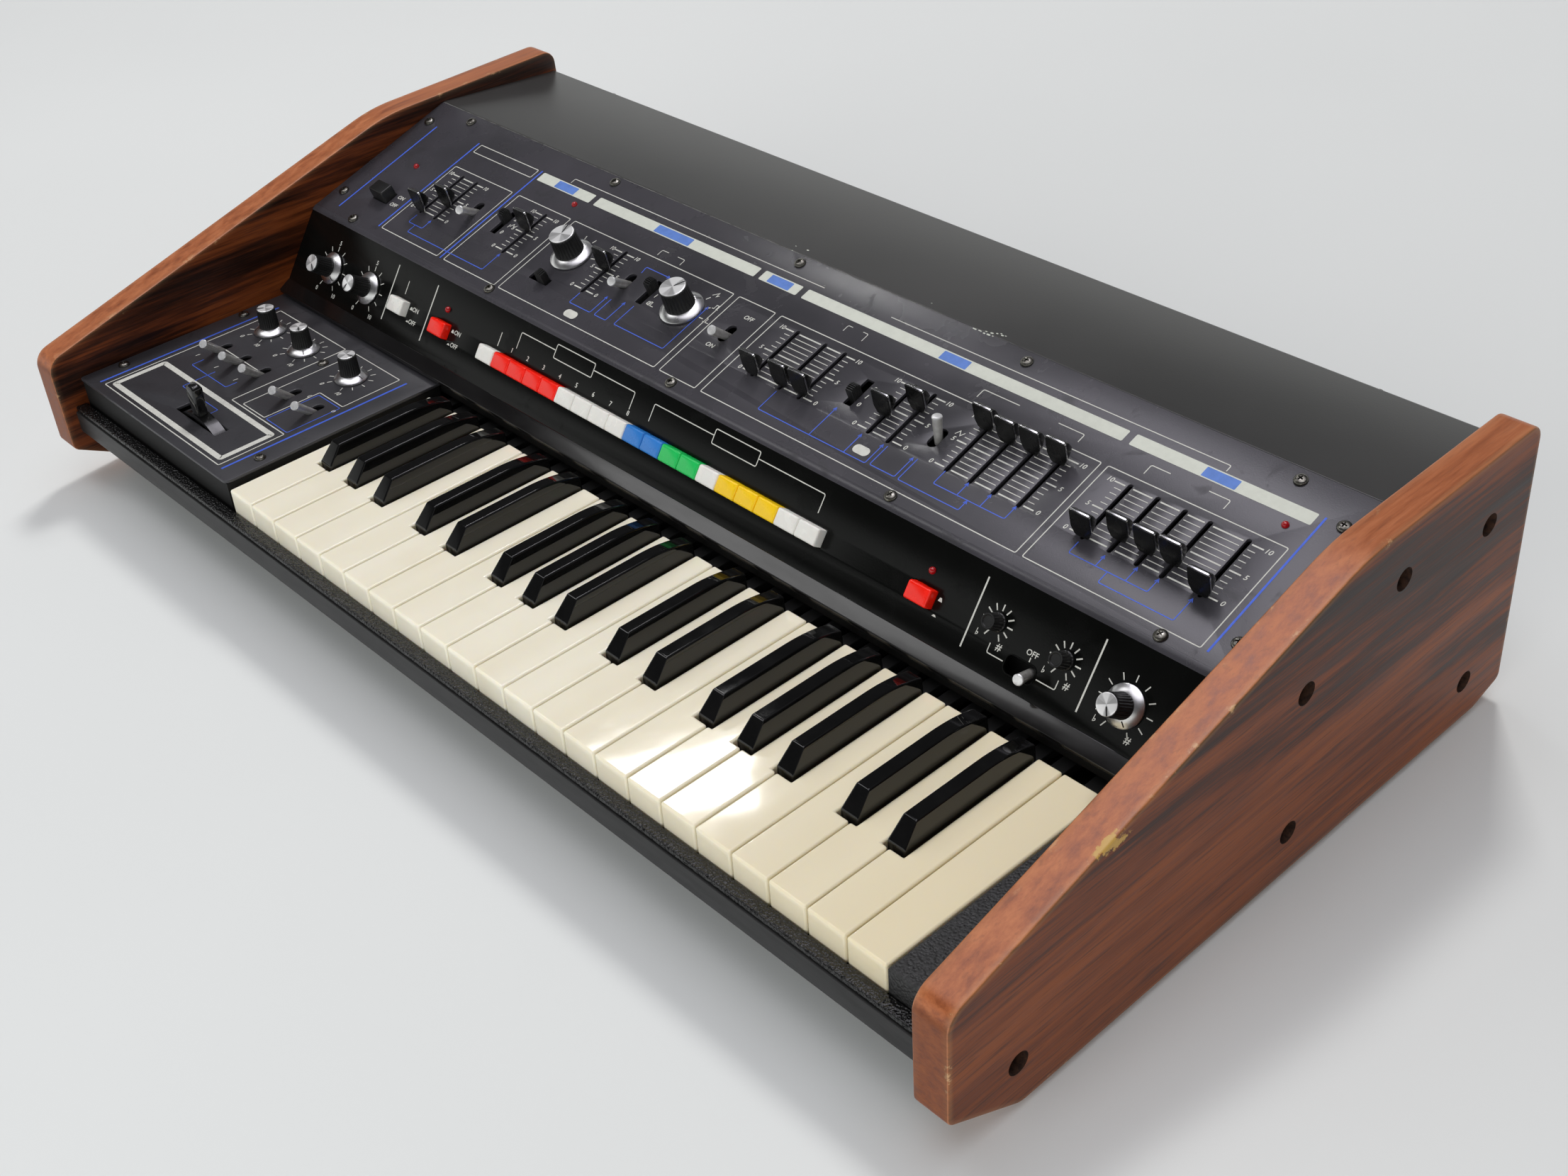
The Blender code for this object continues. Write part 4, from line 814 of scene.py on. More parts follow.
# Flat black: the knob pointers and the lip's curtain, and painted shade in the wall and sheets under
# the panels, in the screws' crosses and in the jack bores.
flat_black_and_shade = finish("slot_lining", 0.7, colour=(0.004, 0.004, 0.004))
skirt_metal = finish("knob_skirt_aluminium", 0.26, (160.0, 2.0), [(0.3, 0.80), (0.7, 0.88)],
                     [(0.3, 0.27), (0.7, 0.33)], metallic=1.0)
knob_black = finish("knob_black_plastic", 0.34, (120.0, 3.0), [(0.4, 0.008), (0.7, 0.014)])
toggle_metal = finish("toggle_nickel", 0.28, (300.0, 3.0),
                      [(0.3, (0.56, 0.55, 0.52)), (0.7, (0.74, 0.73, 0.70))], metallic=0.7)
toggle_end = finish("toggle_polished_end", 0.3, (600.0, 2.0), [(0.3, 0.78), (0.7, 0.93)],
                    metallic=0.6)
cap_metal, tree, shader = surface("knob_cap_aluminium", 0.24, 0.45)
# The cap's colour turns light and dark in wedges round its centre: a painted reflection of spun metal.
spun = add(tree, "ShaderNodeAttribute", attribute_name="spun").outputs["Vector"]
spun = add(tree, "ShaderNodeSeparateXYZ", {"Vector": spun}).outputs
turn = maths(tree, "ARCTAN2", spun["Y"], spun["X"])
painted_sheen = 0.5
for count, strength in ((3.0, 0.3), (7.0, 0.12)):
    wave = maths(tree, "SINE", maths(tree, "MULTIPLY", turn, count))
    painted_sheen = maths(tree, "ADD", maths(tree, "MULTIPLY", wave, strength), painted_sheen)
vary(tree, shader, "Base Color", painted_sheen, (0.3, 0.45), (0.6, 0.95))

BIG_KNOB = (13.2, 8.9, 17.0)
SMALL_KNOB = (10.3, 6.2, 16.5)
KNOB_LIFT = 0.35
KNOB_RISE = 3.4
FLUTES = 26
TOGGLE_R = 2.8


def knob(name, x, y, size, place, pointer, body="case"):
    """Silver skirt, fluted black body and spun cap with a pointer line, at an angle."""
    skirt_r, body_r, high = size
    top_r, rise = body_r * 0.92, KNOB_RISE
    stand = place @ Matrix.Translation((x, y, KNOB_LIFT)) @ Matrix.Rotation(-radians(pointer), 4, "Z")
    skirt = turned([(skirt_r - 0.3, 0.0), (skirt_r, 0.2), (skirt_r, 1.1), (skirt_r - 0.2, 1.35),
                    (body_r + 0.5, rise), (body_r - 0.4, rise + 0.1)], 72)
    grip = turned([(body_r + 0.15, rise - 0.2), (body_r + 0.1, rise + 0.5), (body_r, rise + 0.9, 1),
                   (top_r, high - 2.0, 1), (top_r, high - 1.3), (top_r - 0.15, high - 0.75),
                   (top_r - 0.6, high - 0.65)], FLUTES * 6, FLUTES, 0.45)
    crown = turned([(top_r - 0.5, high - 0.9), (top_r - 0.35, high - 0.2),
                    (top_r - 0.55, high - 0.05), (top_r - 1.2, high)], 64)
    layer = crown.verts.layers.float_vector.new("spun")
    for vertex in crown.verts:
        vertex[layer] = (vertex.co.x, vertex.co.y, 0.0)
    on_top = at(ribbon([(0.0, 1.0), (0.0, top_r - 0.5)], 0.75, thick=0.1), 0.0, 0.0, high - 0.04)
    on_skirt = ribbon([(0.0, body_r + 0.6), (0.0, skirt_r - 0.4)], 0.6, thick=0.1)
    at(on_skirt, 0.0, -body_r - 0.5, -0.02)
    on_skirt.transform(Matrix.Rotation(-atan2(rise - 1.35, skirt_r - body_r - 0.7), 4, "X"))
    at(on_skirt, 0.0, body_r + 0.5, rise)
    for suffix, shape, dress in (("skirt", skirt, skirt_metal), ("grip", grip, knob_black),
                                 ("crown", crown, cap_metal),
                                 ("pointer", joined([on_top, on_skirt]), flat_black_and_shade)):
        stands_for = body if suffix == "grip" and body != "case" else None
        fitted(piece(name + "_" + suffix, shape, dress, 35.0, stand), "knob_plastic", body, stands_for)


def toggles(name, sticks, place, slot="panel_paint"):
    """Round metal sticks that lean out of their holes, each with a polished end."""
    shafts, tips = [], []
    for x, y, *lean in sticks:
        high = Vector(lean).length
        turn = Vector(lean).to_track_quat("Z", "Y").to_matrix().to_4x4()
        for group, profile in ((shafts, [(0.8, -4.0), (0.85, 1.0), (0.94, high * 0.72),
                                         (0.98, high - 1.1)]),
                               (tips, [(0.98, high - 1.1), (1.0, high - 0.6), (0.88, high - 0.15),
                                       (0.6, high)])):
            shape = turned([(TOGGLE_R * share, height) for share, height in profile], 28)
            shape.transform(turn)
            group.append(at(shape, x, y))
    fitted(piece(name + "_shafts", joined(shafts), toggle_metal, 40.0, place), slot)
    fitted(piece(name + "_ends", joined(tips), toggle_end, 40.0, place), slot)


def ladder(tree, want, step):
    """Gives each point a run of further points; returns them and their numbers in the run."""
    run = add(tree, "GeometryNodeMeshLine", {"Count": want["Marks"], "Offset": step})
    each = add(tree, "GeometryNodeInstanceOnPoints", {"Points": want["Geometry"],
                                                      "Instance": run.outputs["Mesh"]})
    points = add(tree, "GeometryNodeRealizeInstances", {"Geometry": each.outputs[0]}).outputs[0]
    index = add(tree, "GeometryNodeInputIndex").outputs[0]
    return points, maths(tree, "MODULO", index, want["Marks"])


def named(tree, name):
    return add(tree, "GeometryNodeInputNamedAttribute", {"Name": name}, data_type="FLOAT").outputs[0]


def bars_at(tree, points, shift, size, turn=(0.0, 0.0, 0.0)):
    """A small block of ink at each point."""
    moved = add(tree, "GeometryNodeSetPosition", {"Geometry": points, "Offset": shift}).outputs[0]
    cube = add(tree, "GeometryNodeMeshCube", {"Size": (1.0, 1.0, 1.0)}).outputs["Mesh"]
    return add(tree, "GeometryNodeInstanceOnPoints",
               {"Points": moved, "Instance": cube, "Rotation": turn, "Scale": size}).outputs[0]


dial_tree, want, end = geometry_tree("dial_marks", ["Sweep", "Thin", "Height"], Marks="Int")
tree = dial_tree
points, number = ladder(tree, want, (0.0, 0.0, 0.0))
share = maths(tree, "DIVIDE", number, maths(tree, "SUBTRACT", want["Marks"], 1.0))
angle = maths(tree, "MULTIPLY", maths(tree, "SUBTRACT", share, 0.5), want["Sweep"])
inner, outer = named(tree, "inner"), named(tree, "outer")
middle = maths(tree, "MULTIPLY", maths(tree, "ADD", inner, outer), 0.5)
shift = vector(tree, maths(tree, "MULTIPLY", maths(tree, "SINE", angle), middle),
               maths(tree, "MULTIPLY", maths(tree, "COSINE", angle), middle),
               maths(tree, "MULTIPLY", want["Height"], 0.5))
size = vector(tree, want["Thin"], maths(tree, "SUBTRACT", outer, inner), want["Height"])
turn = vector(tree, z=maths(tree, "MULTIPLY", angle, -1.0))
ended(tree, bars_at(tree, points, shift, size, turn), want, end)


def seeds(name, places, **attributes):
    """Loose points for a geometry tree, with a number of each attribute per point."""
    mesh = bpy.data.meshes.new(name)
    mesh.from_pydata([(x, y, 0.0) for x, y in places], [], [])
    for key, values in attributes.items():
        mesh.attributes.new(key, "FLOAT", "POINT").data.foreach_set("value", values)
    return mesh


def dial_marks(name, dials, place, thin=0.55):
    """Eleven marks round each knob, for dials of (x, y, inner, outer)."""
    points = seeds(name, [dial[:2] for dial in dials], inner=[dial[2] for dial in dials],
                   outer=[dial[3] for dial in dials])
    made = grown(dial_tree, name, {"Marks": 11, "Sweep": radians(300.0), "Thin": thin,
                                   "Height": INK_HEIGHT, "Material": pale_ink}, points)
    made.data.transform(place)
    return fitted(made, "panel_paint")


copy_tree, want, end = geometry_tree("copies_at_points", ["Turn"], Part="Object", Seed="Int")
tree = copy_tree
turned_by = add(tree, "FunctionNodeRandomValue", {2: 0.0, 3: want["Turn"], "Seed": want["Seed"]},
                data_type="FLOAT").outputs[1]
part = add(tree, "GeometryNodeObjectInfo", {"Object": want["Part"]}).outputs["Geometry"]
placed = add(tree, "GeometryNodeInstanceOnPoints",
             {"Points": want["Geometry"], "Instance": part, "Rotation": vector(tree, z=turned_by)})
ended(tree, placed.outputs[0], want, end)


def copies(name, part, points, place, angle, turn=0.0, seed=0):
    """Copies of a part at points of a panel, each turned at random by up to an angle."""
    made = grown(copy_tree, name, {"Part": part, "Turn": turn, "Seed": seed,
                                   "Material": part.data.materials[0]}, points)
    smooth(made.data, angle)
    made.data.transform(place)
    return made


nickel = finish("screw_nickel", 0.3, (420.0, 4.0, 0.65),
                [(0.35, (0.10, 0.095, 0.08)), (0.65, (0.30, 0.29, 0.26))],
                [(0.35, 0.42), (0.65, 0.2)], metallic=1.0)
SCREW_R, SCREW_HIGH, SCREW_RIM = 3.5, 2.1, 0.45
dome = [(SCREW_R, 0.0), (SCREW_R, SCREW_RIM)]
for step in range(1, 8):
    angle = pi / 2 * step / 8
    dome.append((SCREW_R * cos(angle) ** 0.75, SCREW_RIM + (SCREW_HIGH - SCREW_RIM) * sin(angle)))
screw_head = piece("screw_head", turned(dome, 32), nickel, place=LOCAL)
cross = []
for z, reach, thin in ((0.7, 0.6, 0.25), (SCREW_HIGH + 0.5, 2.1, 0.5)):
    cross.append([tuple(Matrix.Rotation(pi / 2 * arm, 3, "Z") @ Vector(spot)) for arm in range(4)
                  for spot in ((thin, -thin, z), (reach, -thin, z), (reach, thin, z))])
# The cross recess is lined in flat black: painted shade in the recess.
cut(screw_head, [loft(cross)], LOCAL, flat_black_and_shade)


def screws(name, places, place, seed, slot="panel_paint"):
    return fitted(copies(name, screw_head, seeds(name, places), place, 40.0, pi, seed), slot)


BENDER_Z = 73.0
BENDER_RIGHT = -186.0
BENDER_DEPTH = 147.8
BENDER_TOGGLES = [(-326.5, 77.0), (-303.6, 77.2), (-280.2, 77.4), (-242.4, 75.8), (-216.2, 75.2)]
BENDER_LEAN = (5.4, -12.2, 12.0)
BENDER_KNOBS = [(-323.8, 112.4), (-285.2, 113.0), (-231.8, 113.7)]
BENDER_POINTERS = (-150.0, 120.0, 75.0)
LEVER_X, LEVER_Y = -259.2, 26.7
bender_left = box_of("bender_panel")[0].x
bender_place = standing(first_low.y, BENDER_Z)
bender_outline = rounded([(bender_left, 0.0), (BENDER_RIGHT, 0.0), (BENDER_RIGHT, BENDER_DEPTH),
                          (bender_left, BENDER_DEPTH)], [1.5, 4.0, 0.8, 0.8], 6)


def toggle_wells(air):
    """Outlines of the holes that the toggles lean out of."""
    return [oblong(x - 1.3, y + 3.1, 6.0 + air, 13.0 + air, 2.9 + 0.3 * air)
            for x, y in BENDER_TOGGLES]


fitted(sheet("bender_plate", bender_outline,
             toggle_wells(0.0) + [oblong(LEVER_X, LEVER_Y, 46.4, 9.2, 0.4)], 2.0, 0.45,
             bender_paint, bender_place), "panel_paint", "case", "bender_panel")

# Under its edge stands a wall in flat black that is painted shade: in front below the plate's
# edge, beside the first key, and in pockets under the toggle wells and the lever slot.
shade_wall_shape = slab(bender_left, 1.0, BENDER_RIGHT - 0.6, BENDER_DEPTH - 1.0, -36.0, -2.2)
shade_wall = fitted(piece("bender_skirt", shade_wall_shape, flat_black_and_shade, place=bender_place), "panel_paint")
cut(shade_wall, [prism(outline, -32.0, 1.0) for outline in
                 toggle_wells(1.0) + [oblong(LEVER_X, LEVER_Y, 74.0, 12.0, 0.5)]], bender_place)

printed("bender_lines", [
    box_line(-338.9, 11.4, -210.9, 45.3, 3.6),
    line([(-343.2, 6.8), (-205.3, 6.8), (-205.9, 50.6), (-265.5, 50.4), (-265.8, 131.5),
          (-343.2, 131.5)], 0.7, True),
    line([(-255.8, 52.5), (-231.9, 52.7), (-231.6, 91.2), (-206.6, 91.2), (-207.4, 132.6),
          (-255.8, 132.6)], 0.6, True),
    *lines(0.7, [(-324.2, 80.0), (-308.2, 80.0)], [(-301.2, 80.0), (-285.2, 80.0)])],
    pale_ink, bender_place)
printed("bender_blue_lines", [
    *lines(1.4, [(-348.0, 6.0), (-348.0, 133.0)], [(-200.5, 6.0), (-200.5, 133.0)]),
    box_line(-229.6, 52.7, -206.3, 89.2, 0.5),
    *lines(0.5, [(-323.5, 64.0), (-323.5, 55.7), (-282.0, 55.7), (-282.0, 63.5)],
           [(-304.0, 61.0), (-303.8, 38.3), (-261.0, 38.3), (-261.0, 33.0)])],
    blue_ink, bender_place)
dial_marks("bender_dials", [(x, y, 11.6, 14.8) for x, y in BENDER_KNOBS], bender_place)
figures = [("0", x - 8.6, y - 15.8) for x, y in BENDER_KNOBS]
figures += [("10", x + 9.2, y - 15.8) for x, y in BENDER_KNOBS]
figures += [("1", x - 5.6, 64.5) for x, y in BENDER_TOGGLES[:3]]
figures += [("0", x + 9.6, 84.5) for x, y in BENDER_TOGGLES[3:]]
lettered("bender_figures", figures, 4.2, bender_place)
screws("bender_screws", [(-356.4, 26.5), (-357.0, 112.3), (-193.8, 27.3), (-261.1, 112.1)],
       bender_place, 3)
for number, ((x, y), pointer) in enumerate(zip(BENDER_KNOBS, BENDER_POINTERS)):
    knob("bender_knob_%d" % (number + 1), x, y, SMALL_KNOB, bender_place, pointer)
toggles("bender_toggles", [(x, y, *BENDER_LEAN) for x, y in BENDER_TOGGLES], bender_place)

# The lever is moulded with a round hub that rocks on a pin under the plate.
gloss_black = finish("moulded_gloss_black", 0.16, (90.0, 4.0, 0.6), (), [(0.4, 0.1), (0.7, 0.26)],
                     colour=(0.006, 0.006, 0.006), Coat_Weight=0.3, Coat_Roughness=0.08)
LEVER_PIN = -30.0
LEVER_WIDE, LEVER_THICK, LEVER_HIGH = 9.0, 7.0, 23.6
HUB_R, HUB_WALL, HUB_HALF = 34.3, 3.0, 3.9
LEVER_SECTIONS = [(LEVER_PIN, 6.0, 6.0), (-2.0, 8.0, 6.6), (12.0, LEVER_WIDE, LEVER_THICK),
                  (LEVER_HIGH - 2.4, LEVER_WIDE * 1.06, LEVER_THICK),
                  (LEVER_HIGH - 0.8, LEVER_WIDE * 0.88, LEVER_THICK * 0.8),
                  (LEVER_HIGH, LEVER_WIDE * 0.5, LEVER_THICK * 0.4)]
lever_place = bender_place @ Matrix.Translation((LEVER_X, LEVER_Y, 0.0))
stick = loft([[(x, y, z) for x, y in oblong(0.0, 0.0, wide, thick, 1.6, 4)]
              for z, wide, thick in LEVER_SECTIONS])
hub_turns = [radians(turn) for turn in range(-54, 55, 6)]
hub_profile = [(HUB_R * sin(turn), LEVER_PIN + HUB_R * cos(turn)) for turn in hub_turns]
hub_profile += [((HUB_R - HUB_WALL) * sin(turn), LEVER_PIN + (HUB_R - HUB_WALL) * cos(turn))
                for turn in reversed(hub_turns)]
hub = loft([[(x, y, z) for x, z in hub_profile] for y in (-HUB_HALF, HUB_HALF)])
fitted(piece("bender_stick", stick, gloss_black, 50.0, lever_place), "black_plastic",
       "bender_lever", "bender_lever")
fitted(piece("bender_hub", hub, gloss_black, 40.0, lever_place), "black_plastic", "bender_lever")


# Switch panel.  Satin black steel that stands steeply behind the keys, with a moulded glossy
# strip along its lower edge; it carries knobs, push buttons and the row of selector buttons.
switch_black = panel_paint("switch_panel_paint", (0.0024, 0.0026, 0.0023),
                           (0.0038, 0.0040, 0.0037), 0.21, 0.16)
lip_black = finish("lip_moulding_black", 0.13, (16.0, 5.0, 0.6, 0.0, (1.0, 5.0, 5.0)), (),
                   [(0.35, 0.09), (0.7, 0.22)], colour=(0.006, 0.0055, 0.0055),
                   Coat_Weight=0.2, Coat_Roughness=0.06)

FOLD_Y, FOLD_Z = -8.21, 123.12
SWITCH_LEN = 51.6
SWITCH_TILT = radians(55.3)
NOSE_R = 2.2
PLATE_THICK, PLATE_EDGE = 2.0, 0.3
SELECTORS = 19
SELECTOR_PITCH = 15.2
SELECTOR_MIDDLE = -13.2
BUTTON_Y = -30.5
BUTTON_WIDE, BUTTON_LONG, BUTTON_OUT, BUTTON_DEEP = 14.7, 9.6, 5.3, 4.0
BUTTONS = {"hold_button": -244.0, "memory_write_button": -200.05, "protection_button": 199.7}
TRIMMERS = [(244.6, -24.9), (285.3, -25.5)]
RACE_X, RACE_Y, RACE_WIDE, RACE_LONG = 265.2, -39.5, 17.5, 9.0
VOLUME_X, BRILLIANCE_X, TUNING_X = -322.1, -279.8, 322.0
switch_place = standing(FOLD_Y, FOLD_Z, SWITCH_TILT)
switch_low, switch_high = box_of("switch_panel")
side = switch_high.x
holes = [oblong(x, BUTTON_Y, BUTTON_WIDE + 0.7, BUTTON_LONG + 0.7, 0.8) for x in BUTTONS.values()]
holes.append(oblong(SELECTOR_MIDDLE, BUTTON_Y, SELECTORS * SELECTOR_PITCH + 0.6,
                    BUTTON_LONG + 0.9, 0.6))
holes.append(oblong(RACE_X, RACE_Y, RACE_WIDE, RACE_LONG, 3.2))
switch_outline = [(-side, -SWITCH_LEN), (side, -SWITCH_LEN), (side, -NOSE_R), (-side, -NOSE_R)]
fitted(sheet("switch_plate", switch_outline, holes, PLATE_THICK, PLATE_EDGE, switch_black,
             switch_place), "case_paint", "case", "switch_panel")
# A black sheet under the plate: painted shade, seen through the plate's holes.
shade_sheet = slab(-side + 2.0, -SWITCH_LEN + 6.0, side - 2.0, -5.0, -11.0, -10.0)
fitted(piece("switch_backing", shade_sheet, flat_black_and_shade, place=switch_place), "case_paint")

edge = (switch_place @ Vector((0.0, -SWITCH_LEN, 0.0))) / MM
lip_profile = rounded([(edge.y + 1.6, edge.z + 1.1), (edge.y + 0.4, edge.z + 0.9),
                       (switch_low.y + 0.1, edge.z - 3.6), (switch_low.y + 0.2, edge.z - 6.2),
                       (edge.y - 1.2, edge.z - 6.6), (edge.y + 2.4, edge.z - 2.0)],
                      [0.2, 0.6, 0.9, 0.8, 0.4, 0.4], 6)
fitted(piece("lip_moulding", along_x(lip_profile, -side, side), lip_black, 50.0), "case_paint")
curtain_y, curtain_top = switch_low.y + 4.2, edge.z - 5.0
curtain = [(curtain_y, switch_low.z), (curtain_y + 1.6, switch_low.z),
           (curtain_y + 1.6, curtain_top), (curtain_y, curtain_top)]
fitted(piece("lip_curtain", along_x(curtain, -side, side), flat_black_and_shade), "case_paint")

printed("switch_lines", [
    *lines(0.9, *([(x, -7.8), (x, -43.7)] for x in (-258.1, -216.3, 230.6, 300.6))),
    *lines(0.6, [(-243.9, -14.0), (-243.9, -22.5)], [(-147.2, -14.8), (-147.2, -23.3)]),
    *lines(0.55, [(-131.0, -19.3), (-131.0, -9.3), (-99.0, -9.3)],
           [(-64.5, -9.3), (-27.8, -9.3), (-27.8, -19.3)]),
    box_line(-99.0, -5.5, -64.5, -13.8, 0.55),
    *lines(0.55, [(-10.7, -20.0), (-10.7, -9.8), (37.8, -9.8)],
           [(72.4, -9.8), (122.0, -9.8), (122.0, -20.0)]),
    box_line(37.8, -6.0, 72.4, -14.2, 0.55),
    *lines(0.55, [(245.2, -35.0), (245.2, -39.8), (255.2, -39.8)],
           [(275.2, -39.8), (286.2, -39.8), (286.2, -35.0)], [(268.3, -32.0), (268.3, -34.2)])],
    pale_ink, switch_place, "case_paint")
dial_marks("switch_dials", [(VOLUME_X, BUTTON_Y, 11.6, 14.8), (BRILLIANCE_X, BUTTON_Y, 11.6, 14.8),
                            (TUNING_X, BUTTON_Y, 11.6, 15.0)], switch_place)
dial_marks("trimmer_dials", [(x, y, 5.7, 9.0) for x, y in TRIMMERS], switch_place, 0.7)
figures = [(str(number + 1), SELECTOR_MIDDLE - (8.0 - number) * SELECTOR_PITCH + 0.8, -21.6)
           for number in range(8)]
for x in (VOLUME_X, BRILLIANCE_X):
    figures += [("0", x - 9.4, -46.4), ("5", x, -13.6), ("10", x + 9.8, -46.4)]
figures += [("OFF", 268.3, -30.2), ("ON", -229.0, -28.6), ("OFF", -228.6, -36.4),
            ("ON", -184.6, -28.6), ("OFF", -184.2, -36.4)]
lettered("switch_figures", figures, 4.0, switch_place, "case_paint", 0.05)
signs = []
for x, y, wide in [(*spot, 8.6) for spot in TRIMMERS] + [(TUNING_X, BUTTON_Y, 11.6)]:
    signs += [("♭", x - wide, y - wide + 0.4), ("#", x + wide * 0.65, y - wide - 1.6)]
lettered("tuning_signs", signs, 5.2, switch_place, "case_paint", 0.1)
button_signs = []
for x in BUTTONS.values():
    for y, pressed in ((-28.6, 0.0), (-36.4, 0.9)):
        left, foot, top = x + 9.3, y - 1.0, y + 0.9 - pressed
        button_signs.append(prism([(left, foot), (left + 2.6, foot), (left + 1.9, top),
                                   (left + 0.7, top)], 0.0, INK_HEIGHT))
printed("button_signs", button_signs, pale_ink, switch_place, "case_paint")
for name, x, pointer in (("volume_knob", VOLUME_X, 134.0), ("brilliance_knob", BRILLIANCE_X, -158.0),
                         ("master_tuning_knob", TUNING_X, 152.0)):
    knob(name + "_dressed", x, BUTTON_Y, SMALL_KNOB, switch_place, pointer, name)


def button_cap(wide, high, edge):
    """A push button's moulding with rounded shoulders."""
    return loft([[(x, y, z) for x, y in oblong(0.0, 0.0, wide - less, BUTTON_LONG - less, edge)]
                 for z, less in ((-BUTTON_DEEP, 0.0), (high - 1.4, 0.0), (high - 0.6, 0.4),
                                 (high - 0.15, 1.0), (high, 2.1))])


GRIME = (130.0, 4.0, 0.6)
GRIME_GLOSS = [(0.35, 0.18), (0.7, 0.34)]
BUTTON_SHEEN = {"Coat_Weight": 0.15, "Coat_Roughness": 0.12, "Subsurface_Weight": 0.06,
                "Subsurface_Scale": 0.001}
WHITE = (0.82, 0.81, 0.76)
RED = (0.95, 0.014, 0.004)
BLUE = (0.028, 0.200, 0.600)
GREEN = (0.014, 0.540, 0.110)
YELLOW = (0.95, 0.610, 0.006)
white_cap, red_cap = [finish(name, 0.26, GRIME, [(0.4, shade_of(dye, 0.94)), (0.6, dye)],
                             GRIME_GLOSS, colour=dye, **BUTTON_SHEEN)
                      for name, dye in (("button_white", WHITE), ("button_red", RED))]
for name, x in BUTTONS.items():
    shape = at(button_cap(BUTTON_WIDE, BUTTON_OUT, 0.9), x, BUTTON_Y)
    dress, slot = (white_cap, "white_plastic") if name == "hold_button" else (red_cap, "red_plastic")
    fitted(piece(name + "_cap", shape, dress, 60.0, switch_place), slot, name, name)

# The selector row: equal caps side by side, coloured by the kind of sound they call up.
row_dyes = [WHITE] + [RED] * 4 + [WHITE] * 4 + [BLUE] * 2 + [GREEN] * 2 + [WHITE] + [YELLOW] * 3 \
    + [WHITE] * 2
row_plastic, tree, shader = surface("selector_plastic", 0.26, **BUTTON_SHEEN)
dye = add(tree, "ShaderNodeAttribute", attribute_name="dye").outputs["Color"]
dull = ramp(tree, noise(tree, *GRIME), [(0.4, 0.95), (0.6, 1.0)])
tree.links.new(mix(tree, 1.0, dye, dull, "MULTIPLY"), shader.inputs["Base Color"])
vary(tree, shader, "Roughness", noise(tree, *GRIME), *GRIME_GLOSS)
row_cap = piece("row_cap", button_cap(SELECTOR_PITCH - 0.25, BUTTON_OUT, 0.8), row_plastic, 60.0,
                LOCAL)
row_points = seeds("selector_row", [(SELECTOR_MIDDLE + (number - (SELECTORS - 1) / 2) * SELECTOR_PITCH,
                                     BUTTON_Y) for number in range(SELECTORS)])
dyes = row_points.attributes.new("dye", "FLOAT_COLOR", "POINT")
for number, dye in enumerate(row_dyes):
    dyes.data[number].color = tint(dye)
fitted(copies("selector_row", row_cap, row_points, switch_place, 60.0), "white_plastic")
bpy.data.objects.remove(row_cap, do_unlink=True)

lamp_red = finish("lamp_red_lens", 0.1, colour=(0.30, 0.004, 0.006), Coat_Weight=0.6,
                  Coat_Roughness=0.04, Emission_Color=(0.5, 0.0, 0.01, 1.0), Emission_Strength=0.05)
LENS = [(1.9, -1.0), (1.9, 0.5), (1.7, 1.1), (1.2, 1.7), (0.5, 2.0)]


def lamps(name, places, place, slot):
    shapes = [at(turned(LENS, 24), x, y) for x, y in places]
    return fitted(piece(name, joined(shapes), lamp_red, 60.0, place), slot)


lamps("switch_lamps", [(-200.1, -18.2), (199.7, -18.0)], switch_place, "case_paint")
TRIMMER = [(4.7, 0.1), (4.7, 1.0), (4.4, 1.4, 1), (4.0, 8.0, 1), (3.7, 8.8), (3.0, 8.8), (2.6, 8.3)]
fitted(piece("trimmers", joined([at(turned(TRIMMER, 96, 16, 0.35), x, y) for x, y in TRIMMERS]),
             knob_black, 35.0, switch_place), "case_paint")
toggles("race_toggle", [(270.4, RACE_Y, 2.6, -2.4, 11.0)], switch_place, "case_paint")
rim_line = ribbon(oblong(RACE_X, RACE_Y, RACE_WIDE + 0.5, RACE_LONG + 0.5, 3.4), 0.5, True, 0.25)
fitted(piece("race_rim", rim_line, switch_black, 60.0, switch_place), "case_paint")


# Control panel.  The long sloping plate of sliders, selectors and switches, printed with white
# frames and scales, pale title bars and blue signal lines, and held by pan-head screws.
control_paint = panel_paint("control_panel_paint", (0.036, 0.035, 0.040), (0.052, 0.049, 0.058), 0.27)
CONTROL_TILT = radians(18.23)
CONTROL_LEN = 116.3
SLOT_FROM, SLOT_LEN, SLOT_WIDE = 31.0, 38.5, 2.4
GROUPS = [[(-281.0, 3.0), (-266.3, 14.3)], [(-194.2, 22.8)], [(-116.6, 21.7)],
          [(30.0, 3.0), (51.2, 4.5), (66.0, 5.0)], [(117.0, 15.5), (130.8, 26.6)],
          [(170.7, 33.3), (186.4, 31.7), (201.4, 32.4), (217.3, 33.4)],
          [(256.4, 3.0), (272.3, 10.1), (287.9, 10.0), (302.0, 10.6), (323.2, 3.0)]]
MOVING = {51.2: "cutoff_slider", 66.0: "resonance_slider", 323.2: "level_slider"}
SLIDE_SWITCHES = [(-216.0, 0.72), (-76.0, 0.72), (93.0, 0.30)]
SUB_SWITCH = (-150.8, 26.9)
CONTROL_TOGGLES = [(-244.0, 48.3, 4.9, -10.5), (-95.2, 48.8, 3.6, -9.8), (-6.6, 46.6, 1.6, -7.8),
                   (152.1, 47.4, -0.4, 3.3)]
TOGGLE_HIGH = 12.0
POWER_X, POWER_Y = -320.0, 30.6
SELECT_KNOBS = {"range_knob": (-147.6, 50.5, -15.0), "waveform_knob": (-46.5, 50.0, 30.0)}

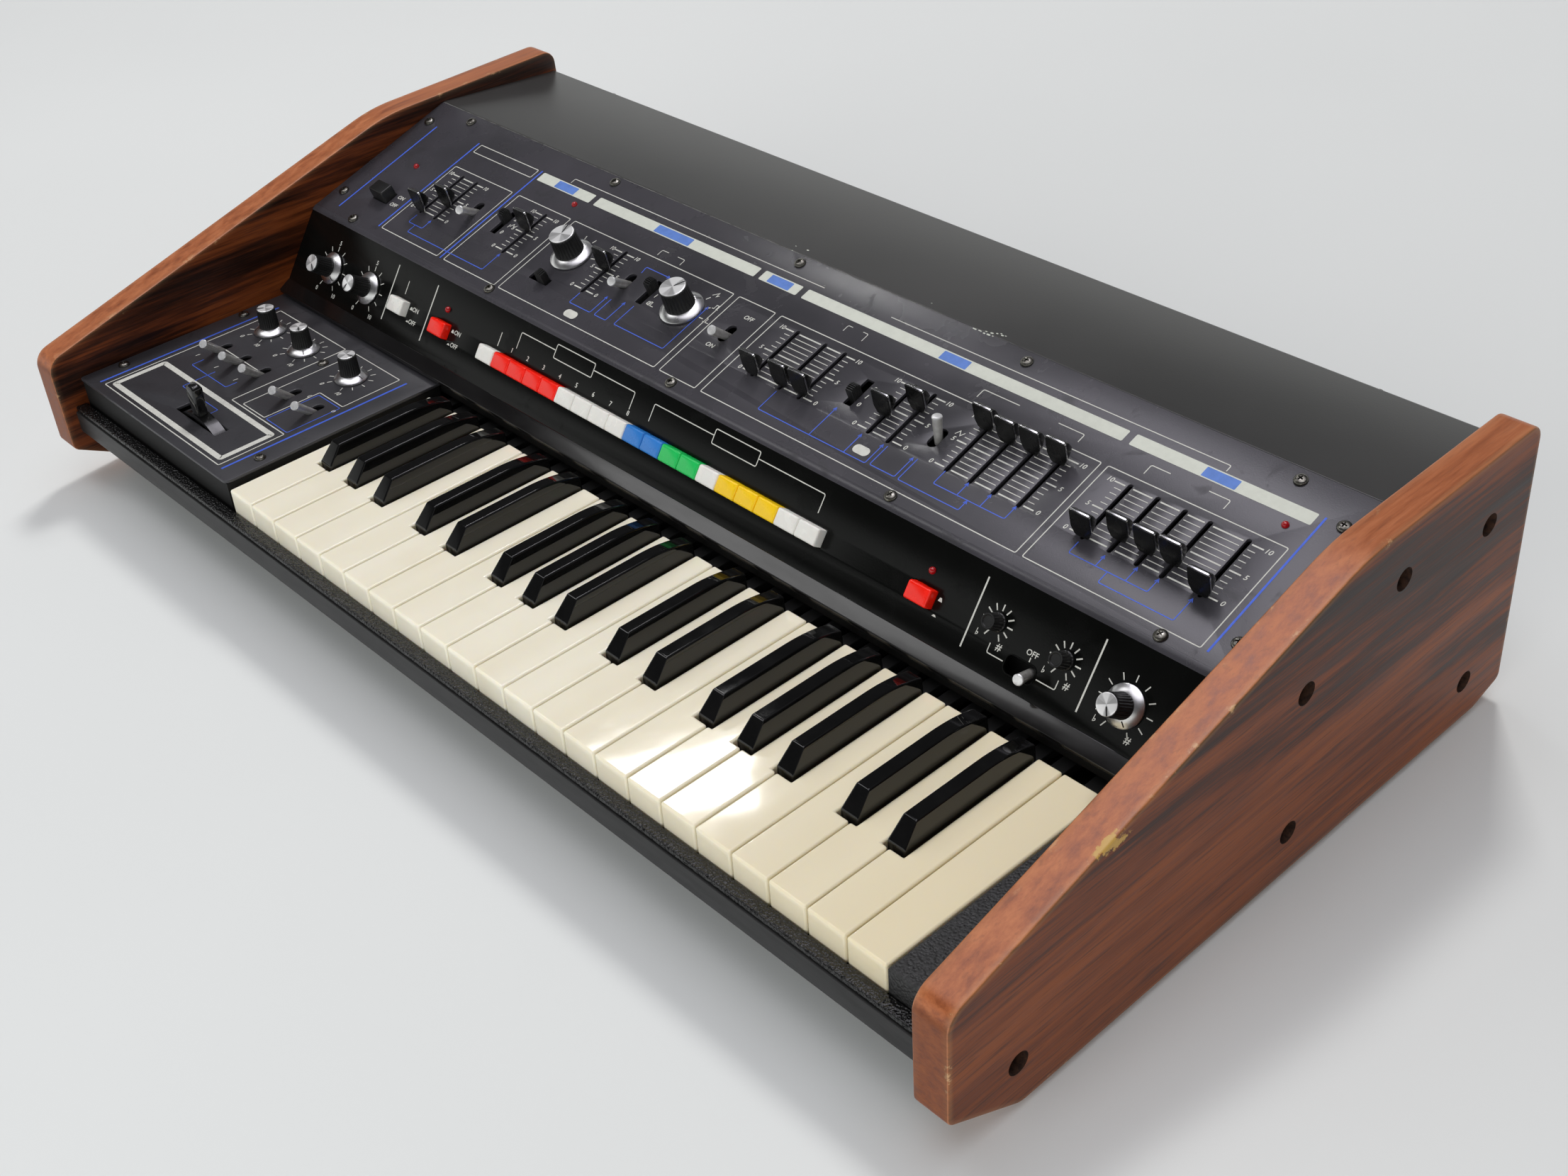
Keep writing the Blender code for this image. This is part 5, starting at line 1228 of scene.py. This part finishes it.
control_place = standing(FOLD_Y, FOLD_Z, CONTROL_TILT)
holes = [oblong(x, SLOT_FROM + SLOT_LEN / 2, SLOT_WIDE, SLOT_LEN, SLOT_WIDE * 0.49)
         for group in GROUPS for x, up in group]
holes += [oblong(x, 50.7, 5.2, 19.5, 0.5) for x, share in SLIDE_SWITCHES]
holes.append(oblong(*SUB_SWITCH, 17.0, 5.2, 0.5))
holes += [oblong(x - 0.25 * lean_x, y - 0.25 * lean_y, 6.2, 13.0, 3.0)
          for x, y, lean_x, lean_y in CONTROL_TOGGLES]
holes.append(oblong(POWER_X, POWER_Y, 15.4, 10.3, 0.8))
control_outline = [(-side, NOSE_R), (side, NOSE_R), (side, CONTROL_LEN), (-side, CONTROL_LEN)]
fitted(sheet("control_plate", control_outline, holes, PLATE_THICK, PLATE_EDGE, control_paint,
             control_place), "panel_paint", "case", "control_panel")
# A black sheet under the plate: painted shade, seen through the plate's slots and holes.
under = slab(-side + 2.0, 6.0, side - 2.0, CONTROL_LEN - 4.0, -14.0, -13.0)
fitted(piece("control_backing", under, flat_black_and_shade, place=control_place), "panel_paint")

# The plate turns down over the switch panel in a small round nose.
arcs = []
for depth in (0.0, PLATE_THICK):
    start, crown, finish_at = [(place @ Vector((0.0, y, -depth))) / MM for place, y in
                               ((control_place, NOSE_R + 0.1), (control_place, 0.0),
                                (switch_place, -NOSE_R - 0.1))]
    arc = [start * (1 - share) ** 2 + crown * 2 * share * (1 - share) + finish_at * share ** 2
           for share in (step / 8 for step in range(9))]
    arcs.append([(point.y, point.z) for point in arc])
nose = along_x(arcs[0] + arcs[1][::-1], -side, side)
fitted(piece("control_nose", nose, control_paint, 50.0), "panel_paint")


def either(tree, chosen, plain, special):
    """Plain where chosen is 0, special where it is 1."""
    return add(tree, "ShaderNodeMix", {0: chosen, 2: plain, 3: special}, data_type="FLOAT").outputs[0]


scale_tree, want, end = geometry_tree("fader_scale", ["Pitch", "Thin", "Thick", "Height"],
                                      Marks="Int")
tree = scale_tree
points, number = ladder(tree, want, vector(tree, y=want["Pitch"]))
fifth = maths(tree, "LESS_THAN", maths(tree, "MODULO", number, 5.0), 0.5)
reach = either(tree, fifth, named(tree, "short"), named(tree, "tall"))
shift = vector(tree, maths(tree, "MULTIPLY", reach, 0.5), 0.0,
               maths(tree, "MULTIPLY", want["Height"], 0.5))
size = vector(tree, maths(tree, "ABSOLUTE", reach), either(tree, fifth, want["Thin"], want["Thick"]),
              want["Height"])
ended(tree, bars_at(tree, points, shift, size), want, end)

SCALE_LOW = SLOT_FROM + 2.2
SCALE_PITCH = (SLOT_LEN - 4.4) / 10
SCALE_AIR = 2.3
SHORT, TALL = 4.0, 6.3
ladders, figures = [], []
for group in GROUPS:
    rows = [x for x, up in group]
    ladders.append((rows[0] - SCALE_AIR, -SHORT, -TALL))
    for before, after in zip(rows, rows[1:]):
        between = after - before - 2 * SCALE_AIR
        ladders.append((before + SCALE_AIR, between, between))
    ladders.append((rows[-1] + SCALE_AIR, SHORT, TALL))
    for step in (0, 5, 10):
        figures += [(str(step), x, SCALE_LOW + step * SCALE_PITCH)
                    for x in (rows[0] - 11.2, rows[-1] + 11.2)]
scale_points = seeds("fader_scales", [(x, SCALE_LOW) for x, short, tall in ladders],
                     short=[short for x, short, tall in ladders],
                     tall=[tall for x, short, tall in ladders])
scales = grown(scale_tree, "fader_scales",
               {"Marks": 11, "Pitch": SCALE_PITCH, "Thin": 0.42, "Thick": 0.8,
                "Height": INK_HEIGHT, "Material": pale_ink}, scale_points)
scales.data.transform(control_place)
fitted(scales, "panel_paint")
figures += [(figure, x + 6.0, 44.0 + step * 6.2) for x, share in SLIDE_SWITCHES
            for step, figure in enumerate("012")]
figures += [("ON", POWER_X + 13.6, POWER_Y + 3.6), ("OFF", POWER_X + 13.8, POWER_Y - 3.4),
            ("ON", -9.6, 37.0), ("OFF", -4.0, 62.8)]
lettered("control_figures", figures, 4.0, control_place)

FRAMES = [(-295.0, -234.0), (-227.0, -175.0), (-170.7, -26.9), (-22.2, 7.3), (12.1, 235.0),
          (239.2, 340.6)]
BARS = [(-228.0, -176.0), (-171.5, -27.0), (-23.0, 7.2), (11.7, 234.5), (238.8, 340.8)]
BOXES = [(-211.0, -192.0), (-115.0, -84.0), (-16.8, 0.5), (114.2, 132.8), (280.5, 299.5)]
bar_ink = ink("pale_bar_ink", (0.60, 0.62, 0.55), 0.94)
box_ink = ink("blue_box_ink", (0.10, 0.21, 0.58))
printed("control_lines", [
    *(box_line(left, 8.7, right, 73.5, 0.55) for left, right in FRAMES),
    box_line(-295.0, 89.0, -234.0, 96.4, 0.55),
    *lines(0.5, [(-202.5, 97.6), (-202.5, 101.5), (18.9, 101.5)],
           [(70.0, 101.5), (289.5, 101.5), (289.5, 97.6)]),
    *lines(0.4, [(-96.1, 75.9), (-96.1, 80.4), (-90.5, 80.4)],
           [(-82.5, 80.4), (-76.2, 80.4), (-76.2, 75.9)],
           [(52.6, 81.1), (52.6, 85.6), (56.0, 85.6)], [(63.8, 85.6), (67.6, 85.6), (67.6, 80.0)]),
    *lines(0.5, [(151.3, 78.1), (151.3, 83.9), (175.0, 83.9)],
           [(200.0, 83.9), (216.4, 83.9), (216.4, 78.6)],
           [(256.9, 77.7), (256.9, 83.8), (268.0, 83.8)],
           [(290.0, 83.8), (302.0, 83.8), (302.0, 78.2)])], pale_ink, control_place)
printed("title_bars", [patch((left + right) / 2, 92.95, right - left, 7.4, 0.8)
                       for left, right in BARS], bar_ink, control_place)
printed("title_boxes", [patch((left + right) / 2, 92.9, right - left, 6.0, 0.4, 2, 0.14)
                        for left, right in BOXES], box_ink, control_place)
printed("signal_pills", [patch(x, y, 10.5, 5.6, 2.7, 6) for x, y in ((-107.8, 14.8), (122.7, 20.7))],
        pale_ink, control_place)

# Generic wave shapes beside the waveform selector and the slide switches.
WAVES = {"saw": [(-2.2, -1.4), (1.0, 1.6), (1.0, -1.4), (2.4, 0.0)],
         "square": [(-2.4, -1.4), (-0.9, -1.4), (-0.9, 1.5), (0.9, 1.5), (0.9, -1.4), (2.4, -1.4)],
         "pulse": [(-2.4, -1.4), (-1.4, -1.4), (-1.4, 1.5), (-0.3, 1.5), (-0.3, -1.4), (2.4, -1.4)],
         "triangle": [(-2.4, -1.4), (-0.8, 1.5), (0.9, -1.4), (2.4, 1.3)]}


def wave(shape, x, y):
    return ribbon([(x + dx, y + dy) for dx, dy in WAVES[shape]], 0.42)


def round_knob(name, reach, degrees):
    """The spot at a distance and direction from a selector knob."""
    x, y, pointer = SELECT_KNOBS[name]
    return x + reach * sin(radians(degrees)), y + reach * cos(radians(degrees))


wave_signs = [wave("square", -206.5, 58.5), wave("triangle", -206.5, 51.5),
              wave("pulse", -67.0, 44.2), wave("triangle", 160.6, 54.5)]
for name, stops in (("range_knob", range(-75, 76, 30)), ("waveform_knob", range(30, 91, 30))):
    wave_signs += [ribbon([round_knob(name, reach, stop) for reach in (14.4, 17.4)], 0.6)
                   for stop in stops]
wave_signs += [wave(shape, *round_knob("waveform_knob", 21.0, stop))
               for shape, stop in (("saw", 30.0), ("square", 60.0), ("pulse", 90.0))]
printed("wave_signs", wave_signs, pale_ink, control_place)


def arrow_line(points):
    """A signal line that ends in an arrow tip at the control it feeds."""
    tip, before = Vector(points[-1]), Vector(points[-2])
    along = (tip - before).normalized()
    side = Vector((-along.y, along.x))
    return [line(points, 0.5), ribbon([tip - along * 1.8 + side, tip, tip - along * 1.8 - side], 0.5)]


SIGNALS = [
    [(-281.0, 28.5), (-281.0, 21.3), (-266.3, 21.3), (-266.3, 29.0)],
    [(-273.6, 21.3), (-273.6, 14.6), (-194.2, 14.6), (-194.2, 29.5)],
    [(-116.6, 30.0), (-116.6, 21.4), (-97.6, 21.4), (-97.6, 36.0)],
    [(-93.6, 35.5), (-93.6, 21.4), (-83.4, 21.4), (-83.4, 37.5)],
    [(-76.0, 38.0), (-76.0, 21.6), (-33.2, 21.6), (-33.2, 58.5)],
    [(-93.4, 60.2), (-94.3, 65.2), (-73.6, 65.2)],
    [(51.4, 29.5), (51.4, 15.0), (130.4, 15.0), (130.4, 29.2)],
    [(90.0, 15.0), (90.0, 36.6)], [(115.2, 15.0), (115.2, 29.0)],
    [(133.2, 29.6), (133.2, 15.6), (150.3, 15.6), (150.3, 30.0)],
    [(153.0, 30.6), (153.0, 15.2), (193.4, 15.2), (193.4, 21.8)],
    [(170.8, 31.5), (170.8, 22.2), (216.8, 22.2), (216.8, 31.0)],
    [(186.4, 22.2), (186.4, 31.0)], [(201.2, 22.2), (201.2, 30.8)],
    [(256.6, 29.0), (256.6, 21.6), (302.0, 21.6), (302.0, 30.0)],
    [(272.4, 21.6), (272.4, 28.5)], [(289.6, 21.6), (289.6, 30.5)],
    [(279.4, 21.6), (279.4, 14.6), (321.6, 14.6), (321.6, 28.8)]]
printed("signal_lines", lines(1.1, [(-344.3, 8.5), (-344.3, 95.5)], [(-298.3, 8.6), (-298.3, 97.0)],
                              [(-230.6, 8.6), (-230.6, 97.0)], [(344.5, 8.5), (344.5, 96.5)])
        + [shape for points in SIGNALS for shape in arrow_line(points)], blue_ink, control_place)
screws("control_screws", [(-354.4, 96.7), (-322.6, 109.5), (-173.6, 110.7), (-8.7, 110.0),
                          (158.4, 109.5), (322.0, 109.4), (354.2, 95.7), (-322.4, 4.9),
                          (-174.7, 4.9), (-8.1, 4.9), (157.7, 4.9), (322.2, 4.9), (-354.1, 20.2),
                          (353.4, 19.0)], control_place, 8)
lamps("control_lamps", [(-323.0, 60.6), (-183.2, 84.0), (331.5, 84.0)], control_place, "panel_paint")

# Slider caps: a flat leaf with a silvered rim in front of a bulging black grip on a thin stem.
silver_rim = finish("slider_rim_silver", 0.2, (120.0, 2.0), [(0.35, 0.60), (0.65, 0.68)],
                    metallic=1.0)
slider_black = finish("slider_black_plastic", 0.3, (160.0, 3.0), (), [(0.4, 0.22), (0.7, 0.4)],
                      colour=(0.005, 0.005, 0.005), Specular_IOR_Level=0.4)
LEAF_WIDE, LEAF_HIGH, LEAF_BACK = 12.6, 15.8, 0.11


def tapered(half, low, shoulder, high, waist, radii, steps):
    """A slider outline from in front: upright sides, drawn in towards the stem."""
    return rounded([(-half * waist, low), (half * waist, low), (half, shoulder), (half, high),
                    (-half, high), (-half, shoulder)], radii, steps)


def leaning(outline, depth):
    return [(x, depth + LEAF_BACK * z, z) for x, z in outline]


def leaf(*slices):
    """The leaf's outline at some depths, each grown by a little."""
    return loft([leaning(tapered(LEAF_WIDE / 2 + grow, 0.7, 5.2, LEAF_HIGH + grow, 0.66,
                                 [1.8, 1.8, 4.0, 1.3, 1.3, 4.0], 4), depth)
                 for depth, grow in slices])


grip_rings = []
for step in range(9):
    spot = step / 8
    low = 1.6 + 2.6 * spot
    grip_rings.append(leaning(tapered(LEAF_WIDE / 2 - 0.35 - 1.1 * spot ** 2, low, low + 3.4,
                                      LEAF_HIGH - 0.5 - 6.4 * spot ** 2, 0.6,
                                      [0.6, 0.6, 1.4, 0.9, 0.9, 1.4], 3), -1.4 + 5.1 * spot))
stem = prism(oblong(0.0, 0.3, 1.3, 2.6, 0.3, 2), -9.0, 5.0)
face = leaf((-2.5, -0.45), (-2.2, -0.45), (-1.9, -0.12))
slider_grip = piece("slider_grip", joined([face, loft(grip_rings), stem]), slider_black, 40.0, LOCAL)
slider_rim = piece("slider_rim", leaf((-2.15, -0.08), (-2.05, -0.08), (-2.05, 0.0), (-1.3, 0.0)),
                   silver_rim, 40.0, LOCAL)
sliders = [(x, SLOT_FROM + up) for group in GROUPS for x, up in group]
for part, label in ((slider_grip, "grips"), (slider_rim, "rims")):
    still = seeds("slider_" + label, [spot for spot in sliders if spot[0] not in MOVING])
    fitted(copies("slider_" + label, part, still, control_place, 40.0), "panel_paint")
    for x, y in sliders:
        if x in MOVING:
            node = MOVING[x]
            one = link(bpy.data.objects.new(node + "_" + label, part.data.copy()))
            one.data.transform(control_place @ Matrix.Translation((x, y, 0.0)))
            fitted(one, "black_plastic", node, node if part is slider_grip else None)
    bpy.data.objects.remove(part, do_unlink=True)
for name, (x, y, pointer) in SELECT_KNOBS.items():
    knob(name + "_dressed", x, y, BIG_KNOB, control_place, pointer, name)


def nub(x, y, turn=0.0):
    """A ribbed thumb piece of a slide switch."""
    shapes = [prism(oblong(0.0, 0.0, 4.6, 6.4, 0.4, 2), -4.0, 6.2)]
    for number in range(6):
        offset = number - 2.5
        high = 7.6 - 0.16 * offset ** 2
        shapes.append(loft([[(px, py, z) for px, py in oblong(0.0, offset * 1.1, wide, long, 0.15, 1)]
                            for z, wide, long in ((-4.0, 5.0, 0.85), (high - 0.5, 5.0, 0.85),
                                                  (high, 4.6, 0.5))]))
    whole = joined(shapes)
    whole.transform(Matrix.Rotation(turn, 4, "Z"))
    return at(whole, x, y)


nubs = [nub(x, 44.0 + 13.5 * share) for x, share in SLIDE_SWITCHES]
nubs.append(nub(SUB_SWITCH[0] + 3.5, SUB_SWITCH[1], pi / 2))
fitted(piece("slide_switch_nubs", joined(nubs), knob_black, 35.0, control_place), "panel_paint")
toggles("control_toggles", [(*stick, TOGGLE_HIGH) for stick in CONTROL_TOGGLES], control_place)
fitted(piece("power_button_cap", at(button_cap(BUTTON_WIDE, 8.0, 0.9), POWER_X, POWER_Y), knob_black,
             60.0, control_place), "black_plastic", "power_button", "power_button")

# Chips along the panel's rear edge, where the enamel has come off, and a thin grey line
# along that edge, which is a painted highlight.
CHIPS = [(117.4, 115.7, 2.6, 0.7), (121.0, 115.9, 2.2, 0.6), (124.2, 115.5, 1.4, 0.8),
         (127.0, 115.7, 2.4, 0.9), (129.8, 115.9, 1.0, 0.6), (-21.0, 116.0, 1.2, 0.5)]
printed("edge_chips", [patch(x, y, wide, long, long * 0.45) for x, y, wide, long in CHIPS],
        bar_ink, control_place)
# A thin grey line along the rear edge: a painted highlight of the folded edge.
printed("rear_edge_wear", [ribbon([(-362.0, 115.9), (96.0, 115.9)], 0.4)],
        ink("worn_edge", (0.17, 0.17, 0.16), 0.35), control_place)


# Top cover.  One sheet of dark grey steel, folded over the rear edge and down the back; jack
# sockets and the mains inlet sit in the back, and a few specks of paint have dried on top.
cover_paint = finish("cover_paint", 0.33, (5.0, 5.0, 0.6),
                     [(0.35, (0.030, 0.030, 0.029)), (0.65, (0.038, 0.037, 0.036))],
                     [(0.3, 0.30), (0.7, 0.37)], ((1200.0, 2.0), 0.2, 0.00015),
                     Specular_IOR_Level=1.0)
COVER_DEPTH, COVER_FALL, COVER_SHEET = 94.8, 7.1, 2.0
BACK_LEAN = 0.0577
SOCKET_LEVEL = 74.0
JACKS, JACK_FROM, JACK_PITCH = 8, 271.4, 32.0
INLET_X, INLET_WIDE, INLET_LONG = -303.4, 28.0, 20.0
low, high = box_of("top_cover")
rear_y, rear_z = low.y + COVER_DEPTH - 0.1, high.z - COVER_FALL
back_y = rear_y + (rear_z - low.z) * BACK_LEAN
cover_profile = rounded([(low.y, high.z), (rear_y, rear_z), (back_y, low.z),
                         (back_y - COVER_SHEET, low.z), (rear_y - COVER_SHEET, rear_z - COVER_SHEET),
                         (low.y + 0.2, high.z - COVER_SHEET)], [0.4, 3.0, 0.4, 0.4, 1.0, 0.4], 6)
cover = piece("cover_sheet", along_x(cover_profile, low.x, high.x), cover_paint, 40.0)
back_place = standing(rear_y, rear_z, atan2(BACK_LEAN, 1.0) - pi / 2)
down = (rear_z - SOCKET_LEVEL) * sqrt(1 + BACK_LEAN ** 2)
cut(cover, [prism(oblong(INLET_X, down, INLET_WIDE, INLET_LONG, 2.0), -6.0, 6.0)], back_place)
smooth(cover.data, 40.0)
fitted(cover, "case_paint", "case", "top_cover")

WASHER = [(5.5, -0.5), (5.5, 0.6), (5.3, 0.8)]
NUT = [(5.1, 0.5), (5.1, 2.2), (4.7, 2.5)]
SLEEVE = [(4.0, 0.4), (4.0, 2.7), (3.8, 2.95), (3.4, 2.95), (3.2, 2.7), (3.2, 0.9)]
BORE_SHADE = [(3.15, 0.92), (3.15, 1.0)]
jack_spots = [(JACK_FROM - number * JACK_PITCH, down) for number in range(JACKS)]
fitted(piece("jack_sockets", joined([at(turned(profile, sides), x, y) for x, y in jack_spots
                                     for profile, sides in ((WASHER, 40), (NUT, 6), (SLEEVE, 40))]),
             toggle_metal, 35.0, back_place), "case_paint")
# A black disc in each sleeve: painted shade inside the socket's bore.
fitted(piece("jack_bores", joined([at(turned(BORE_SHADE, 40), x, y) for x, y in jack_spots]), flat_black_and_shade,
             35.0, back_place), "case_paint")
inlet = loft([[(x, y, z) for x, y in oblong(INLET_X, down, INLET_WIDE - less, INLET_LONG - less, 1.8)]
              for z, less in ((-10.0, 0.4), (0.5, 0.4), (0.8, 1.0), (0.8, 4.6), (0.4, 5.2),
                              (-8.0, 5.4))])
fitted(piece("mains_inlet", inlet, knob_black, 40.0, back_place), "case_paint")
pins = [prism(oblong(INLET_X + x, down + y, 2.0, 4.0, 0.4, 2), -8.5, -1.5)
        for x, y in ((-5.5, -2.0), (5.5, -2.0), (0.0, 3.0))]
fitted(piece("inlet_pins", joined(pins), toggle_metal, 35.0, back_place), "case_paint")
screws("cover_screws", [(-300.0, 4.9), (298.6, 4.9)], back_place, 5, "case_paint")

SPECKS = [(124.0, 1.0, 0.9), (127.4, 1.6, 1.3), (129.6, 3.2, 0.9), (131.2, 4.6, 0.8),
          (133.0, 3.4, 1.1), (134.6, 4.2, 0.7), (-15.0, 6.0, 1.1), (-24.0, 5.2, 0.6),
          (81.0, 5.5, 0.6)]
printed("paint_specks", [patch(x, y, size * 1.5, size, size * 0.45) for x, y, size in SPECKS],
        bar_ink, standing(low.y, high.z, -atan2(COVER_FALL, COVER_DEPTH)), "case_paint")
bpy.data.objects.remove(screw_head, do_unlink=True)
